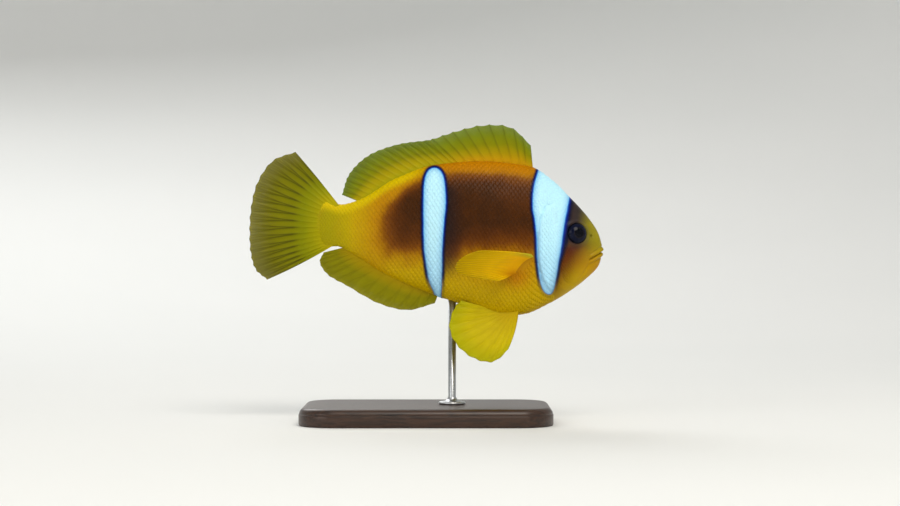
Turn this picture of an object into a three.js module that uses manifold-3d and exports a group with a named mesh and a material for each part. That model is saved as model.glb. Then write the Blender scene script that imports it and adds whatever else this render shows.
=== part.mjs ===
// Two-banded anemonefish (clownfish), adult, 120 mm long, as a still life-size model on a display stand.
// Millimetres, +Z up. The origin is at the middle of the underside of the whole model's bounding box.
// The fish swims towards +X; its right side faces -Y.
import * as THREE from "three";
import { mergeVertices } from "three/addons/utils/BufferGeometryUtils.js";
import Module from "manifold-3d";

const wasm = await Module();
wasm.setup();

// ---- Driving dimensions -------------------------------------------------------------------------

const SNOUT_X = 59.3; // the snout's tip, in front of the origin
const BODY_LENGTH = 93.1; // from the snout to the root of the tail fin
const GAP = 0.3; // air between neighbouring pieces

const BODY_RINGS = 34; // cross-sections along the body
const BODY_SIDES = 32; // corners round one cross-section
const RING_CROWDING = 1.45; // above 1 the rings crowd towards the snout

const TAIL_SWAY = 5; // how far the tail's tip swings to the left
const SWAY_START_X = -5; // where the spine starts to bend
const TAIL_TIP_X = -60;

// The eyeball is flatter than a ball; "disc" is the round window of it that shows inside the rim of skin.
const EYE = { x: 50.4, z: 63.4, radius: 3.7, flatness: 0.8, disc: 3.25 };
const EYE_RIM_RADIUS = 4.3; // out to the edge of the rim of skin round the eye
const NOSTRIL = { x: 55.2, z: 62.6, radius: 0.5, rim: 1 };
const RIM_PROUD = 0.3; // how far the rims of the eyes and nostrils stand out of the head
const GILL_PROUD = 0.45; // how far a gill cover stands out of the cheek
const GILL_DEEP = 0.9; // how far it is let into the flesh

// The line between the lips, from the snout's tip back and down to the corner of the mouth.
const MOUTH = { tipZ: 57.2, cornerBehind: 4.6, cornerZ: 54.6 };
const LIP = { radius: 0.85, raised: 0.75 };

// Fin thicknesses: the web between the rays, how far a ray stands out on each face, and the fleshy root.
const medianForm = { rows: 3, web: 0.8, ridge: 0.2, foot: 0.5 };
const tailForm = { rows: 4, web: 0.8, ridge: 0.2, foot: 0.9 };
const pairedForm = { rows: 4, web: 0.7, ridge: 0.18, foot: 0.6 };
const FOOT_END = 0.4; // the share of a ray's length over which the fleshy root thins out
const ROOT_CROWDING = 1.4; // above 1 the rows of a fin crowd towards its root
const RIDGE_REACH = 0.2; // half the width of a ridge, as a share of the space between two rays
const TIP_TAPER = 0.5; // how much of its thickness a fin has lost at its edge
const SPINE_NOTCH = 0.05; // how far the web between two spines stops short of their tips
const SOFT_NOTCH = 0.02; // the same between two soft rays

const BASE = { length: 84, width: 52, height: 6, corner: 12, bevel: 1 };
const ROD = { x: 8.6, radius: 1.3, footRadius: 4.5, footHeight: 2.4 };

// ---- Plain helpers ------------------------------------------------------------------------------

const lerp = THREE.MathUtils.lerp;
const clamp = THREE.MathUtils.clamp;
const vec = (x, y, z) => new THREE.Vector3(x, y, z);

// A smooth line through [at, value] rows that never overshoots them (monotone cubic).
// warp bends the scale of "at" first, so that a square root rounds the line off at zero.
function smoothTable(rows, warp = (at) => at) {
  const at = rows.map((row) => warp(row[0]));
  const value = rows.map((row) => row[1]);
  const last = rows.length - 1;
  const slope = at.slice(1).map((a, i) => (value[i + 1] - value[i]) / (a - at[i]));
  const tangent = at.map((_, i) => {
    if (i === 0) return slope[0];
    if (i === last) return slope[last - 1];
    const before = slope[i - 1];
    const after = slope[i];
    return before * after <= 0 ? 0 : (2 * before * after) / (before + after);
  });
  return (wanted) => {
    const w = clamp(warp(wanted), at[0], at[last]);
    let i = 0;
    while (i < last - 1 && w > at[i + 1]) i += 1;
    const span = at[i + 1] - at[i];
    const t = (w - at[i]) / span;
    const t2 = t * t;
    const t3 = t2 * t;
    return (
      (2 * t3 - 3 * t2 + 1) * value[i] +
      (t3 - 2 * t2 + t) * span * tangent[i] +
      (3 * t2 - 2 * t3) * value[i + 1] +
      (t3 - t2) * span * tangent[i + 1]
    );
  };
}

// The spine bends gently to the left behind the belly: what lies behind SWAY_START_X moves over by this much.
function sway(x) {
  const share = Math.max(0, (SWAY_START_X - x) / (SWAY_START_X - TAIL_TIP_X));
  return TAIL_SWAY * share * share;
}

// A closed surface from a list of corner points and triangles.
function closedSurface(corners, triangles) {
  const geometry = new THREE.BufferGeometry();
  geometry.setAttribute("position", new THREE.Float32BufferAttribute(corners.flat(), 3));
  geometry.setIndex(triangles.flat());
  return geometry;
}

// Turns a closed three.js geometry into a solid that can be joined and cut.
function solidOf(geometry) {
  const bare = geometry.clone();
  bare.deleteAttribute("normal");
  bare.deleteAttribute("uv");
  const merged = mergeVertices(bare, 1e-4);
  return new wasm.Manifold(
    new wasm.Mesh({
      numProp: 3,
      vertProperties: new Float32Array(merged.attributes.position.array),
      triVerts: new Uint32Array(merged.index.array),
    }),
  );
}

// Keeps only the largest closed body of a solid, which drops scraps that a cut has left.
function largestOf(solid) {
  return solid.decompose().reduce((best, body) => (body.volume() > best.volume() ? body : best));
}

function geometryOf(solid) {
  const made = solid.getMesh();
  const corners = new Float32Array(made.numVert * 3);
  for (let i = 0; i < made.numVert; i += 1) {
    corners.set(made.vertProperties.subarray(i * made.numProp, i * made.numProp + 3), i * 3);
  }
  const geometry = new THREE.BufferGeometry();
  geometry.setAttribute("position", new THREE.BufferAttribute(corners, 3));
  geometry.setIndex(new THREE.BufferAttribute(new Uint32Array(made.triVerts), 1));
  geometry.computeVertexNormals();
  return geometry;
}

// A prism that stands on an outline in the XZ plane and runs from y0 to y1.
function sidePrism(outline, y0, y1) {
  const shape = new THREE.Shape(outline.map(([x, z]) => new THREE.Vector2(x, z)));
  const geometry = new THREE.ExtrudeGeometry(shape, { depth: y1 - y0, bevelEnabled: false });
  geometry.rotateX(Math.PI / 2); // the outline's second axis becomes +Z, and the depth runs towards -Y
  geometry.translate(0, y1, 0);
  return solidOf(geometry);
}

// ---- The body's form ----------------------------------------------------------------------------
// Every table is [distance behind the snout, value]. The square root makes the snout round.

const BACK = smoothTable(
  [
    [0, 58.2],
    [0.4, 60.5],
    [1.3, 63.4],
    [4.2, 68.1],
    [10.9, 75.6],
    [16.8, 81.4],
    [24.5, 86.1],
    [41.3, 87.9],
    [56.4, 86.7],
    [69.9, 82.0],
    [82.3, 74.8],
    [88, 73.4],
    [93.1, 74.6],
  ],
  Math.sqrt,
);
const BELLY = smoothTable(
  [
    [0, 58.2],
    [0.4, 55.0],
    [1.2, 52.6],
    [4.7, 48.7],
    [9.4, 44.9],
    [18.1, 39.6],
    [26.9, 36.0],
    [33.5, 35.5],
    [46.4, 39.0],
    [59.8, 43.7],
    [73.2, 49.4],
    [85, 56.8],
    [89.5, 58.8],
    [93.1, 58.6],
  ],
  Math.sqrt,
);
const HALF_WIDTH = smoothTable(
  [
    [0, 0],
    [1.2, 2.6],
    [4, 4.6],
    [9, 6.9],
    [16, 8.6],
    [26, 9.6],
    [36, 9.5],
    [50, 8.1],
    [64, 5.9],
    [78, 3.7],
    [88, 2.3],
    [93.1, 1.6],
  ],
  Math.sqrt,
);
// How high up its cross-section the body is widest, as a share of its height.
const WIDEST = smoothTable([
  [0, 0.5],
  [9, 0.52],
  [26, 0.5],
  [60, 0.54],
  [93.1, 0.5],
]);
// How sharply a cross-section closes: 1 is an ellipse, more is a keel, less is a flat cap.
const BACK_KEEL = smoothTable([
  [0, 0.9],
  [9, 0.8],
  [20, 0.95],
  [32, 1.15],
  [62, 1.2],
  [93.1, 0.8],
]);
const BELLY_KEEL = smoothTable([
  [0, 0.9],
  [9, 0.9],
  [20, 0.85],
  [33, 0.78],
  [52, 0.95],
  [72, 1.15],
  [93.1, 0.8],
]);

// The level and half width of the body at one place, all grown outwards by "grown".
function crossSection(behind, grown = 0) {
  const top = BACK(behind) + grown;
  const bottom = BELLY(behind) - grown;
  return { top, bottom, half: HALF_WIDTH(behind) + grown, middle: lerp(bottom, top, WIDEST(behind)) };
}

// The y of the body's right or left side at a level, as a distance from the middle plane.
function sideAt(behind, z) {
  const { top, bottom, half, middle } = crossSection(behind);
  const rise = z > middle ? (z - middle) / (top - middle) : (middle - z) / (middle - bottom);
  const keel = z > middle ? BACK_KEEL(behind) : BELLY_KEEL(behind);
  return half * Math.sqrt(Math.max(0, 1 - rise * rise)) ** keel;
}

// The whole body, without fins, as one closed solid, grown outwards by "grown".
function bodySolid(grown = 0) {
  const corners = [[SNOUT_X + grown, 0, crossSection(0).middle]];
  const triangles = [];
  for (let ring = 1; ring <= BODY_RINGS; ring += 1) {
    const behind = BODY_LENGTH * (ring / BODY_RINGS) ** RING_CROWDING;
    const { top, bottom, half, middle } = crossSection(behind, grown);
    const ends = grown * (1 - clamp(behind / 4, 0, 1)) - grown * (ring === BODY_RINGS ? 1 : 0);
    const x = SNOUT_X - behind + ends;
    for (let side = 0; side < BODY_SIDES; side += 1) {
      const turn = (2 * Math.PI * side) / BODY_SIDES;
      const up = Math.sin(turn);
      const out = Math.cos(turn);
      const keel = up > 0 ? BACK_KEEL(behind) : BELLY_KEEL(behind);
      const y = half * Math.sign(out) * Math.abs(out) ** keel;
      const z = middle + up * (up > 0 ? top - middle : middle - bottom);
      corners.push([x, y + sway(x), z]);
    }
  }
  const at = (ring, side) => 1 + (ring - 1) * BODY_SIDES + (side % BODY_SIDES);
  const tailEnd = corners.length;
  const endX = SNOUT_X - BODY_LENGTH - grown;
  corners.push([endX, sway(endX), crossSection(BODY_LENGTH).middle]);
  for (let side = 0; side < BODY_SIDES; side += 1) {
    triangles.push([0, at(1, side), at(1, side + 1)]);
    for (let ring = 1; ring < BODY_RINGS; ring += 1) {
      triangles.push([at(ring, side), at(ring + 1, side), at(ring + 1, side + 1)]);
      triangles.push([at(ring, side), at(ring + 1, side + 1), at(ring, side + 1)]);
    }
    triangles.push([at(BODY_RINGS, side), tailEnd, at(BODY_RINGS, side + 1)]);
  }
  return solidOf(closedSurface(corners, triangles));
}

const body = bodySolid();
const bodyWithGap = bodySolid(GAP);

// ---- Fins ---------------------------------------------------------------------------------------
// A fin is a row of rays. Each runs from a root that is sunk in the body to its tip, with a "bow" in between.
// It is a ridge raised on both faces of the web. The web between two rays stops a little short of their tips.

// Spreads "count" rays evenly over a few guide rays, on smooth lines through their roots, tips and bows.
// "notch" is how far the web beside a ray stops short of its tip, as a share of its length.
function spreadRays(guides, count, notch) {
  const lines = ["root", "tip", "bow"].map(
    (key) => new THREE.CatmullRomCurve3(guides.map((guide) => guide[key] ?? vec(0, 0, 0))),
  );
  return Array.from({ length: count }, (_, i) => {
    const [root, tip, bow] = lines.map((line) => line.getPoint(i / (count - 1)));
    return { root, tip, bow, notch };
  });
}

// A point on a ray: a straight line from root to tip that bows out in the middle.
function alongRay(ray, share) {
  return ray.root.clone().lerp(ray.tip, share).addScaledVector(ray.bow, 4 * share * (1 - share));
}

// Three columns of points for each ray: the ridge's crest and the web on either side of it.
function finColumns(rayCount, ridge) {
  const columns = [];
  for (let i = 0; i < rayCount; i += 1) {
    if (i > 0) columns.push({ at: i - RIDGE_REACH, raised: 0 });
    columns.push({ at: i, raised: ridge });
    if (i < rayCount - 1) columns.push({ at: i + RIDGE_REACH, raised: 0 });
  }
  return columns;
}

// The fin's middle surface between the rays, at a ray number that need not be whole.
function webPoint(rays, at, share) {
  const i = Math.min(Math.floor(at), rays.length - 2);
  return alongRay(rays[i], share).lerp(alongRay(rays[i + 1], share), at - i);
}

function webNormal(rays, at, share) {
  const step = 0.05;
  const aside = webPoint(rays, Math.min(at + step, rays.length - 1), share);
  aside.sub(webPoint(rays, Math.max(at - step, 0), share));
  const along = webPoint(rays, at, Math.min(share + step, 1));
  along.sub(webPoint(rays, at, Math.max(share - step, 0)));
  return along.cross(aside).normalize();
}

// A fin with both faces split into triangles alike.
function finSolid(rays, { rows, web, ridge, foot }) {
  const columns = finColumns(rays.length, ridge);
  const shares = Array.from({ length: rows + 1 }, (_, row) => (row / rows) ** ROOT_CROWDING);
  const corners = [];
  for (const face of [1, -1]) {
    for (const { at, raised } of columns) {
      const reached = raised > 0 ? 1 : 1 - rays[Math.floor(at)].notch;
      for (const fullShare of shares) {
        const share = fullShare * reached;
        const fleshy = foot * Math.max(0, 1 - share / FOOT_END) ** 2;
        const half = (web / 2 + raised) * (1 - TIP_TAPER * share) + fleshy;
        const point = webPoint(rays, at, share).addScaledVector(webNormal(rays, at, share), face * half);
        corners.push([point.x, point.y + sway(point.x), point.z]);
      }
    }
  }
  const lastColumn = columns.length - 1;
  const index = (face, column, row) => (face * columns.length + column) * (rows + 1) + row;
  const triangles = [];
  const square = (a, b, c, d) => triangles.push([a, b, c], [a, c, d]);
  for (let column = 0; column < lastColumn; column += 1) {
    for (let row = 0; row < rows; row += 1) {
      const [a, b] = [index(0, column, row), index(0, column + 1, row)];
      const [c, d] = [index(1, column, row), index(1, column + 1, row)];
      square(a, b, b + 1, a + 1);
      triangles.push([c, d + 1, d], [c, c + 1, d + 1]);
    }
    const [a, b] = [index(0, column, 0), index(0, column + 1, 0)];
    const [c, d] = [index(1, column, 0), index(1, column + 1, 0)];
    square(a, c, d, b);
    square(a + rows, b + rows, d + rows, c + rows);
  }
  for (let row = 0; row < rows; row += 1) {
    square(index(0, 0, row), index(0, 0, row + 1), index(1, 0, row + 1), index(1, 0, row));
    const [near, far] = [index(0, lastColumn, row), index(1, lastColumn, row)];
    square(near, far, far + 1, near + 1);
  }
  // A fin on the left is its twin's mirror image, so its triangles are turned round.
  const made = solidOf(closedSurface(corners, triangles));
  if (made.volume() > 0) return made;
  return solidOf(closedSurface(corners, triangles.map(([a, b, c]) => [a, c, b])));
}

// Cuts a fin off just above the skin, so that it meets the body face to face.
const onBody = (fin) => largestOf(fin.subtract(bodyWithGap));

// A ray of a fin on the middle line, rooted "behind" the snout and sunk into the flesh of the back or belly.
// "lean" is how far the tip hangs over to the left.
const ROOT_SUNK = 2;
const backRay = (behind, tipX, tipZ, lean = 0) => ({
  root: vec(SNOUT_X - behind, 0, BACK(behind) - ROOT_SUNK),
  tip: vec(tipX, lean, tipZ),
});
const bellyRay = (behind, tipX, tipZ, lean = 0) => ({
  root: vec(SNOUT_X - behind, 0, BELLY(behind) + ROOT_SUNK),
  tip: vec(tipX, lean, tipZ),
});

const SPINE_COUNT = 10;
const SOFT_BACK_COUNT = 16;

// The back fin: ten spines in front, then soft rays that make a rounded lobe.
function backFin() {
  const spines = spreadRays(
    [
      backRay(23.4, 35, 93),
      backRay(28, 28.4, 99.1),
      backRay(34, 18.9, 99.9),
      backRay(40.6, 9.7, 97.8),
      backRay(46.9, 1.9, 95.2),
    ],
    SPINE_COUNT,
    SPINE_NOTCH,
  );
  const softRays = spreadRays(
    [
      backRay(48.6, -0.2, 94.7, 0.2),
      backRay(57, -10.2, 93.3, 0.9),
      backRay(65.5, -19.9, 89.5, 1.5),
      backRay(73.6, -26.3, 83.2, 1.7),
      backRay(80.6, -28.5, 76.4, 1.2),
    ],
    SOFT_BACK_COUNT,
    SOFT_NOTCH,
  );
  return onBody(finSolid([...spines, ...softRays], medianForm));
}

const ANAL_COUNT = 15;
function analFin() {
  const rays = spreadRays(
    [
      bellyRay(55, 2.8, 39.9, -0.2),
      bellyRay(60.6, -6.2, 37.6, -0.9),
      bellyRay(68, -16, 39.8, -1.3),
      bellyRay(75, -27, 45.9, -1.1),
      bellyRay(80.5, -33.4, 49.6, -0.8),
      bellyRay(83.5, -36, 53.8, -0.5),
      bellyRay(85.5, -34.6, 57, -0.3),
    ],
    ANAL_COUNT,
    SOFT_NOTCH,
  );
  return onBody(finSolid(rays, medianForm));
}

const TAIL_COUNT = 17;
function tailFin() {
  const tailRay = (rootX, rootZ, tipX, tipZ, bowX, bowZ) => ({
    root: vec(rootX, 0, rootZ),
    tip: vec(tipX, 0, tipZ),
    bow: vec(bowX, 0, bowZ),
  });
  const rays = spreadRays(
    [
      tailRay(-29.4, 72.8, -44.2, 90.9, 0.1, 0.2),
      tailRay(-31.2, 72, -51.9, 88.1, 0.2, 0.5),
      tailRay(-31.6, 70.2, -57.2, 81, 0, 0.2),
      tailRay(-31.6, 67.9, -59.4, 73, 0, 0),
      tailRay(-31.6, 65.6, -60, 64.6, 0, 0),
      tailRay(-31.6, 63.2, -59.6, 56.6, 0, 0),
      tailRay(-31.2, 61, -57.9, 51.1, 0, -0.3),
      tailRay(-29.6, 60.4, -53.9, 47.8, 0, -0.6),
    ],
    TAIL_COUNT,
    SOFT_NOTCH,
  );
  return onBody(finSolid(rays, tailForm));
}

// A paired fin's ray. "side" is -1 on the right and 1 on the left; every y is measured from the middle plane.
const pairedRay = (side, root, tip, bow) => ({
  root: vec(root[0], side * root[1], root[2]),
  tip: vec(tip[0], side * tip[1], tip[2]),
  bow: vec(bow[0], side * bow[1], bow[2]),
});

// The breast fin sculls: its blade is turned flat, with the upper edge thrown outwards.
const PECTORAL_COUNT = 15;
const PECTORAL_SUNK = 1.2;
function pectoralFin(side) {
  const rootAt = (x, z) => [x, sideAt(SNOUT_X - x, z) - PECTORAL_SUNK, z];
  const rays = spreadRays(
    [
      pairedRay(side, rootAt(36, 55.8), [17.4, 21.5, 57.7], [1.5, 2.2, 0.4]),
      pairedRay(side, rootAt(34.3, 54.9), [12.9, 21.5, 56], [1, 2, 0.3]),
      pairedRay(side, rootAt(33.1, 53.9), [9.9, 20, 53.4], [0.5, 1.7, 0]),
      pairedRay(side, rootAt(32, 52.6), [9.9, 18, 50.7], [0.3, 1.4, 0]),
      pairedRay(side, rootAt(30.9, 51.4), [15.3, 15.4, 48.7], [0, 1, -0.2]),
      pairedRay(side, rootAt(29.8, 50.4), [23.6, 12.6, 47.4], [0, 0.6, -0.3]),
    ],
    PECTORAL_COUNT,
    SOFT_NOTCH,
  );
  return onBody(finSolid(rays, pairedForm));
}

// The belly fin hangs open like a fan: one spine in front and five soft rays, each split in two.
const PELVIC_COUNT = 11;
function pelvicFin(side) {
  const rootAt = (x, y) => [x, y, BELLY(SNOUT_X - x) + ROOT_SUNK];
  const rays = spreadRays(
    [
      pairedRay(side, rootAt(30.8, 3), [27.2, 9.4, 24.8], [0.6, 0.7, 0]),
      pairedRay(side, rootAt(30.1, 2.9), [22.6, 10.4, 20.8], [0.5, 0.8, 0]),
      pairedRay(side, rootAt(29.4, 2.8), [16.6, 9.8, 21.4], [0.3, 0.8, -0.2]),
      pairedRay(side, rootAt(28.7, 2.7), [10.8, 8.4, 25.4], [0.2, 0.7, -0.3]),
      pairedRay(side, rootAt(28, 2.6), [7.6, 6.8, 31.4], [0, 0.5, -0.3]),
      pairedRay(side, rootAt(27.3, 2.5), [8.9, 5.6, 37.8], [0, 0.3, -0.3]),
      pairedRay(side, rootAt(26.5, 2.4), [11.6, 4.6, 41], [0, 0.2, -0.2]),
    ],
    PELVIC_COUNT,
    SOFT_NOTCH,
  );
  return onBody(finSolid(rays, pairedForm));
}

// ---- Head ---------------------------------------------------------------------------------------

// The lower jaw's outline seen from the side: below the line of the mouth and in front of the throat.
function jawOutline(inset) {
  const cornerX = SNOUT_X - MOUTH.cornerBehind;
  return [
    [SNOUT_X + 4, MOUTH.tipZ - inset + 0.6],
    [SNOUT_X, MOUTH.tipZ - inset],
    [cornerX + inset, MOUTH.cornerZ - inset],
    [cornerX - 4.6 + inset, 44],
    [cornerX - 5 + inset, 38],
    [SNOUT_X + 4, 38],
  ];
}

// A round lip along the line of the mouth, "raised" above or below it. It sinks into the head at its corners.
function lipSolid(raised) {
  const lipSteps = 8;
  const sunk = 0.35;
  const cornerSunk = 0.7;
  const line = [];
  for (let step = -lipSteps; step <= lipSteps; step += 1) {
    const share = Math.abs(step) / lipSteps;
    const behind = lerp(sunk, MOUTH.cornerBehind, share ** 1.8);
    const level = lerp(MOUTH.tipZ, MOUTH.cornerZ, behind / MOUTH.cornerBehind);
    const z = level + raised * (1 - 0.35 * share);
    const y = Math.sign(step) * Math.max(0.2, sideAt(behind, z) - sunk - cornerSunk * share ** 4);
    line.push(vec(SNOUT_X - behind, y, z));
  }
  const section = new THREE.Shape();
  section.absarc(0, 0, LIP.radius, 0, 2 * Math.PI);
  return solidOf(
    new THREE.ExtrudeGeometry(section, {
      steps: 16,
      curveSegments: 3,
      extrudePath: new THREE.CatmullRomCurve3(line),
    }),
  );
}

// The outline of a gill cover seen from the side, grown outwards by "grown".
function gillOutline(grown) {
  const line = new THREE.CatmullRomCurve3(
    [
      [44.2, 73.2],
      [40.2, 72.2],
      [38, 67.2],
      [37.3, 59.6],
      [37.8, 51.8],
      [40.2, 45.6],
      [44.6, 42.4],
      [48, 43.8],
      [46.4, 49.6],
      [45.2, 56.2],
      [44.8, 64.6],
    ].map(([x, z]) => vec(x, 0, z)),
    true,
  );
  const steps = 26;
  return Array.from({ length: steps }, (_, i) => {
    const point = line.getPoint(i / steps);
    const along = line.getTangent(i / steps);
    return [point.x - along.z * grown, point.z + along.x * grown];
  });
}

// Everything in front of the gill opening.
const HEAD_BACK = [
  [37.6, 92],
  [38, 80],
  [39, 68],
  [39.2, 56],
  [40, 48],
  [44.6, 40],
  [46, 30],
];
const headRegion = (shift) => [...HEAD_BACK.map(([x, z]) => [x + shift, z]), [70, 30], [70, 92]];

const WIDE = 20; // past the body's side

function sided(side, outline) {
  return side < 0 ? sidePrism(outline, -WIDE, -1) : sidePrism(outline, 1, WIDE);
}

const gillShell = bodySolid(GILL_PROUD).subtract(bodySolid(-GILL_DEEP));
const gillPocketFloor = bodySolid(-GILL_DEEP - GAP);
const gillCover = (side) => largestOf(sided(side, gillOutline(0)).intersect(gillShell));
const gillPocket = (side) => sided(side, gillOutline(-GAP)).subtract(gillPocketFloor);

// ---- Eyes and nostrils --------------------------------------------------------------------------

// The direction that the head's side faces at a place on it.
function headNormal(side, x, z) {
  const step = 2;
  const behind = SNOUT_X - x;
  const forward = (sideAt(behind + step, z) - sideAt(behind - step, z)) / (2 * step);
  const upward = (sideAt(behind, z - step) - sideAt(behind, z + step)) / (2 * step);
  return vec(forward, side, upward).normalize();
}

// Turns a geometry made round the Y axis so that it faces out of the head at x and z, "out" of the surface.
function setOnHead(geometry, side, { x, z }, out = 0) {
  const normal = headNormal(side, x, z);
  geometry.applyQuaternion(new THREE.Quaternion().setFromUnitVectors(vec(0, side, 0), normal));
  const centre = vec(x, side * sideAt(SNOUT_X - x, z), z).addScaledVector(normal, out);
  geometry.translate(centre.x, centre.y, centre.z);
  return solidOf(geometry);
}

function eyeball(side, grown = 0) {
  const geometry = new THREE.SphereGeometry(1, 20, 11);
  geometry.rotateX(Math.PI / 2);
  const depth = EYE.radius * EYE.flatness;
  geometry.scale(EYE.radius + grown, depth + grown, EYE.radius + grown);
  return setOnHead(geometry, side, EYE, -depth * Math.sqrt(1 - (EYE.disc / EYE.radius) ** 2));
}

// A low round rim of skin that follows the head's surface.
const rimShell = bodySolid(RIM_PROUD);
function skinRim(side, place, radius, corners) {
  const geometry = new THREE.CylinderGeometry(radius, radius, 4, corners);
  return setOnHead(geometry, side, place).intersect(rimShell);
}
const eyeRim = (side) => skinRim(side, EYE, EYE_RIM_RADIUS, 24);
const nostrilRim = (side) => skinRim(side, NOSTRIL, NOSTRIL.rim, 12);

function nostril(side) {
  return setOnHead(new THREE.SphereGeometry(NOSTRIL.radius, 10, 6), side, NOSTRIL, RIM_PROUD / 2);
}

// ---- Cutting the body into its named parts ------------------------------------------------------

const SIDES = [
  { name: "right", side: -1 },
  { name: "left", side: 1 },
];
const STEM_X = -25.6; // the tail stem starts here, behind the fins of the back and belly

const openings = SIDES.flatMap(({ side }) => [gillPocket(side), eyeball(side, GAP)]);
const cutAway = (solid, cutters) => cutters.reduce((left, cutter) => left.subtract(cutter), solid);

function headSolid() {
  const whole = SIDES.reduce(
    (made, { side }) => made.add(eyeRim(side)).add(nostrilRim(side)),
    body.intersect(sidePrism(headRegion(GAP / 2), -WIDE, WIDE)).add(lipSolid(LIP.raised)),
  );
  return largestOf(
    cutAway(whole, [
      ...openings,
      ...SIDES.map(({ side }) => nostril(side)),
      sidePrism(jawOutline(0), -WIDE, WIDE),
    ]),
  );
}

function jawSolid() {
  return largestOf(body.add(lipSolid(-LIP.raised)).intersect(sidePrism(jawOutline(GAP), -WIDE, WIDE)));
}

const behindHead = cutAway(body.subtract(sidePrism(headRegion(-GAP / 2), -WIDE, WIDE)), openings);
const block = (x0, x1) => sidePrism([[x0, 20], [x1, 20], [x1, 110], [x0, 110]], -30, 30);
const torsoSolid = () => largestOf(behindHead.intersect(block(STEM_X + GAP / 2, SNOUT_X)));
const stemSolid = () => largestOf(behindHead.intersect(block(-50, STEM_X - GAP / 2)));

// ---- Stand --------------------------------------------------------------------------------------

function baseSolid() {
  const { length, width, height, corner, bevel } = BASE;
  const [halfX, halfY, r] = [length / 2 - bevel, width / 2 - bevel, corner - bevel];
  const shape = new THREE.Shape();
  shape.moveTo(-halfX + r, -halfY);
  shape.lineTo(halfX - r, -halfY);
  shape.absarc(halfX - r, -halfY + r, r, -Math.PI / 2, 0);
  shape.absarc(halfX - r, halfY - r, r, 0, Math.PI / 2);
  shape.absarc(-halfX + r, halfY - r, r, Math.PI / 2, Math.PI);
  shape.absarc(-halfX + r, -halfY + r, r, Math.PI, 1.5 * Math.PI);
  const geometry = new THREE.ExtrudeGeometry(shape, {
    depth: height - 2 * bevel,
    bevelThickness: bevel,
    bevelSize: bevel,
    bevelSegments: 1,
    curveSegments: 6,
  });
  geometry.translate(0, 0, bevel);
  return solidOf(geometry);
}

// A round rod on a low foot. Its top is cut to the belly that it carries.
function rodSolid() {
  const foot = BASE.height + GAP;
  const tall = crossSection(SNOUT_X - ROD.x).bottom + 3;
  const profile = [
    [0, foot],
    [ROD.footRadius, foot],
    [ROD.footRadius, foot + 0.8],
    [ROD.footRadius * 0.55, foot + ROD.footHeight * 0.7],
    [ROD.radius, foot + ROD.footHeight],
    [ROD.radius, tall],
    [0, tall],
  ].map(([r, z]) => new THREE.Vector2(r, z));
  const geometry = new THREE.LatheGeometry(profile, 24);
  geometry.rotateX(Math.PI / 2);
  geometry.translate(ROD.x, 0, 0);
  return onBody(solidOf(geometry));
}

// ---- The model ----------------------------------------------------------------------------------

const finish = (colour, roughness, metalness = 0) =>
  new THREE.MeshStandardMaterial({ color: colour, roughness, metalness });
const skin = finish("#b8791a", 0.45);
const cheek = finish("#d9e8f2", 0.4);
const yellowFin = finish("#b5a21a", 0.5);
const tailFinish = finish("#a8a020", 0.5);
const eyeFinish = finish("#10121c", 0.08);
const baseFinish = finish("#23211f", 0.35);
const rodFinish = finish("#b9bbbd", 0.25, 1);

const model = new THREE.Group();
function addNode(name, solid, material) {
  const mesh = new THREE.Mesh(geometryOf(solid), material);
  mesh.name = name;
  model.add(mesh);
}

addNode("head", headSolid(), skin);
addNode("lower_jaw", jawSolid(), skin);
addNode("torso", torsoSolid(), skin);
addNode("tail_stem", stemSolid(), skin);
addNode("dorsal_fin", backFin(), yellowFin);
addNode("anal_fin", analFin(), yellowFin);
addNode("caudal_fin", tailFin(), tailFinish);
SIDES.forEach(({ name, side }) => {
  addNode(`gill_cover_${name}`, gillCover(side), cheek);
  addNode(`eye_${name}`, eyeball(side), eyeFinish);
  addNode(`pectoral_fin_${name}`, pectoralFin(side), yellowFin);
  addNode(`pelvic_fin_${name}`, pelvicFin(side), yellowFin);
});
addNode("stand_base", baseSolid(), baseFinish);
addNode("stand_rod", rodSolid(), rodFinish);

export default model;
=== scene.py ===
# %% [markdown]
# A two-banded anemonefish on its display stand.
# The real one is a deep, flat-sided reef fish of 120 mm: small overlapping scales all over its body, thin
# fins held open by rays, and a wet dark eye. Here it is a still model in the pose of a fish that hangs in
# the water. The solid model comes first, as a frame in metres with +Z up. Every piece below is built round
# that frame.

import math

import bpy
import numpy as np
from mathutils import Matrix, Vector


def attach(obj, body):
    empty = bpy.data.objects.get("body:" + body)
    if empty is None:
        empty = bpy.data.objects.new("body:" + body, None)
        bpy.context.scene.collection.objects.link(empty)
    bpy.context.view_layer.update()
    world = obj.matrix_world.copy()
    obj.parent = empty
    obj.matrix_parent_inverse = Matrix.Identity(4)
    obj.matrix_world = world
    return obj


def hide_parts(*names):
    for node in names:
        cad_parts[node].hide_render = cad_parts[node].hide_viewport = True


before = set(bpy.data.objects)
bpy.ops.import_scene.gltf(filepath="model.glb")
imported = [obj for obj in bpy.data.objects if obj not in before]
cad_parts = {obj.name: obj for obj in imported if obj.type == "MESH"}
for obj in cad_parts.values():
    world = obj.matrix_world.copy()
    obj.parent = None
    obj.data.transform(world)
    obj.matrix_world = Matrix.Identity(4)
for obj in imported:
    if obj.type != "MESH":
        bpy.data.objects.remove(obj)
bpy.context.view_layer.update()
MM = 0.001  # sizes are written in millimetres, and this turns them to metres

# %% [markdown]
# The camera.
# A fish is known by its side view, so the camera looks level along +Y at its right side, a little above the
# floor. A long lens far off keeps the fins that stand out sideways from growing large, as a wide lens close
# by would.

# %% Camera
VIEW_CENTRE = Vector((7.9, 0, 56.8)) * MM
VIEW_WIDTH = 302.4 * MM  # what the frame's width takes in, at the fish
LENS = 85
SENSOR = 36

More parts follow.
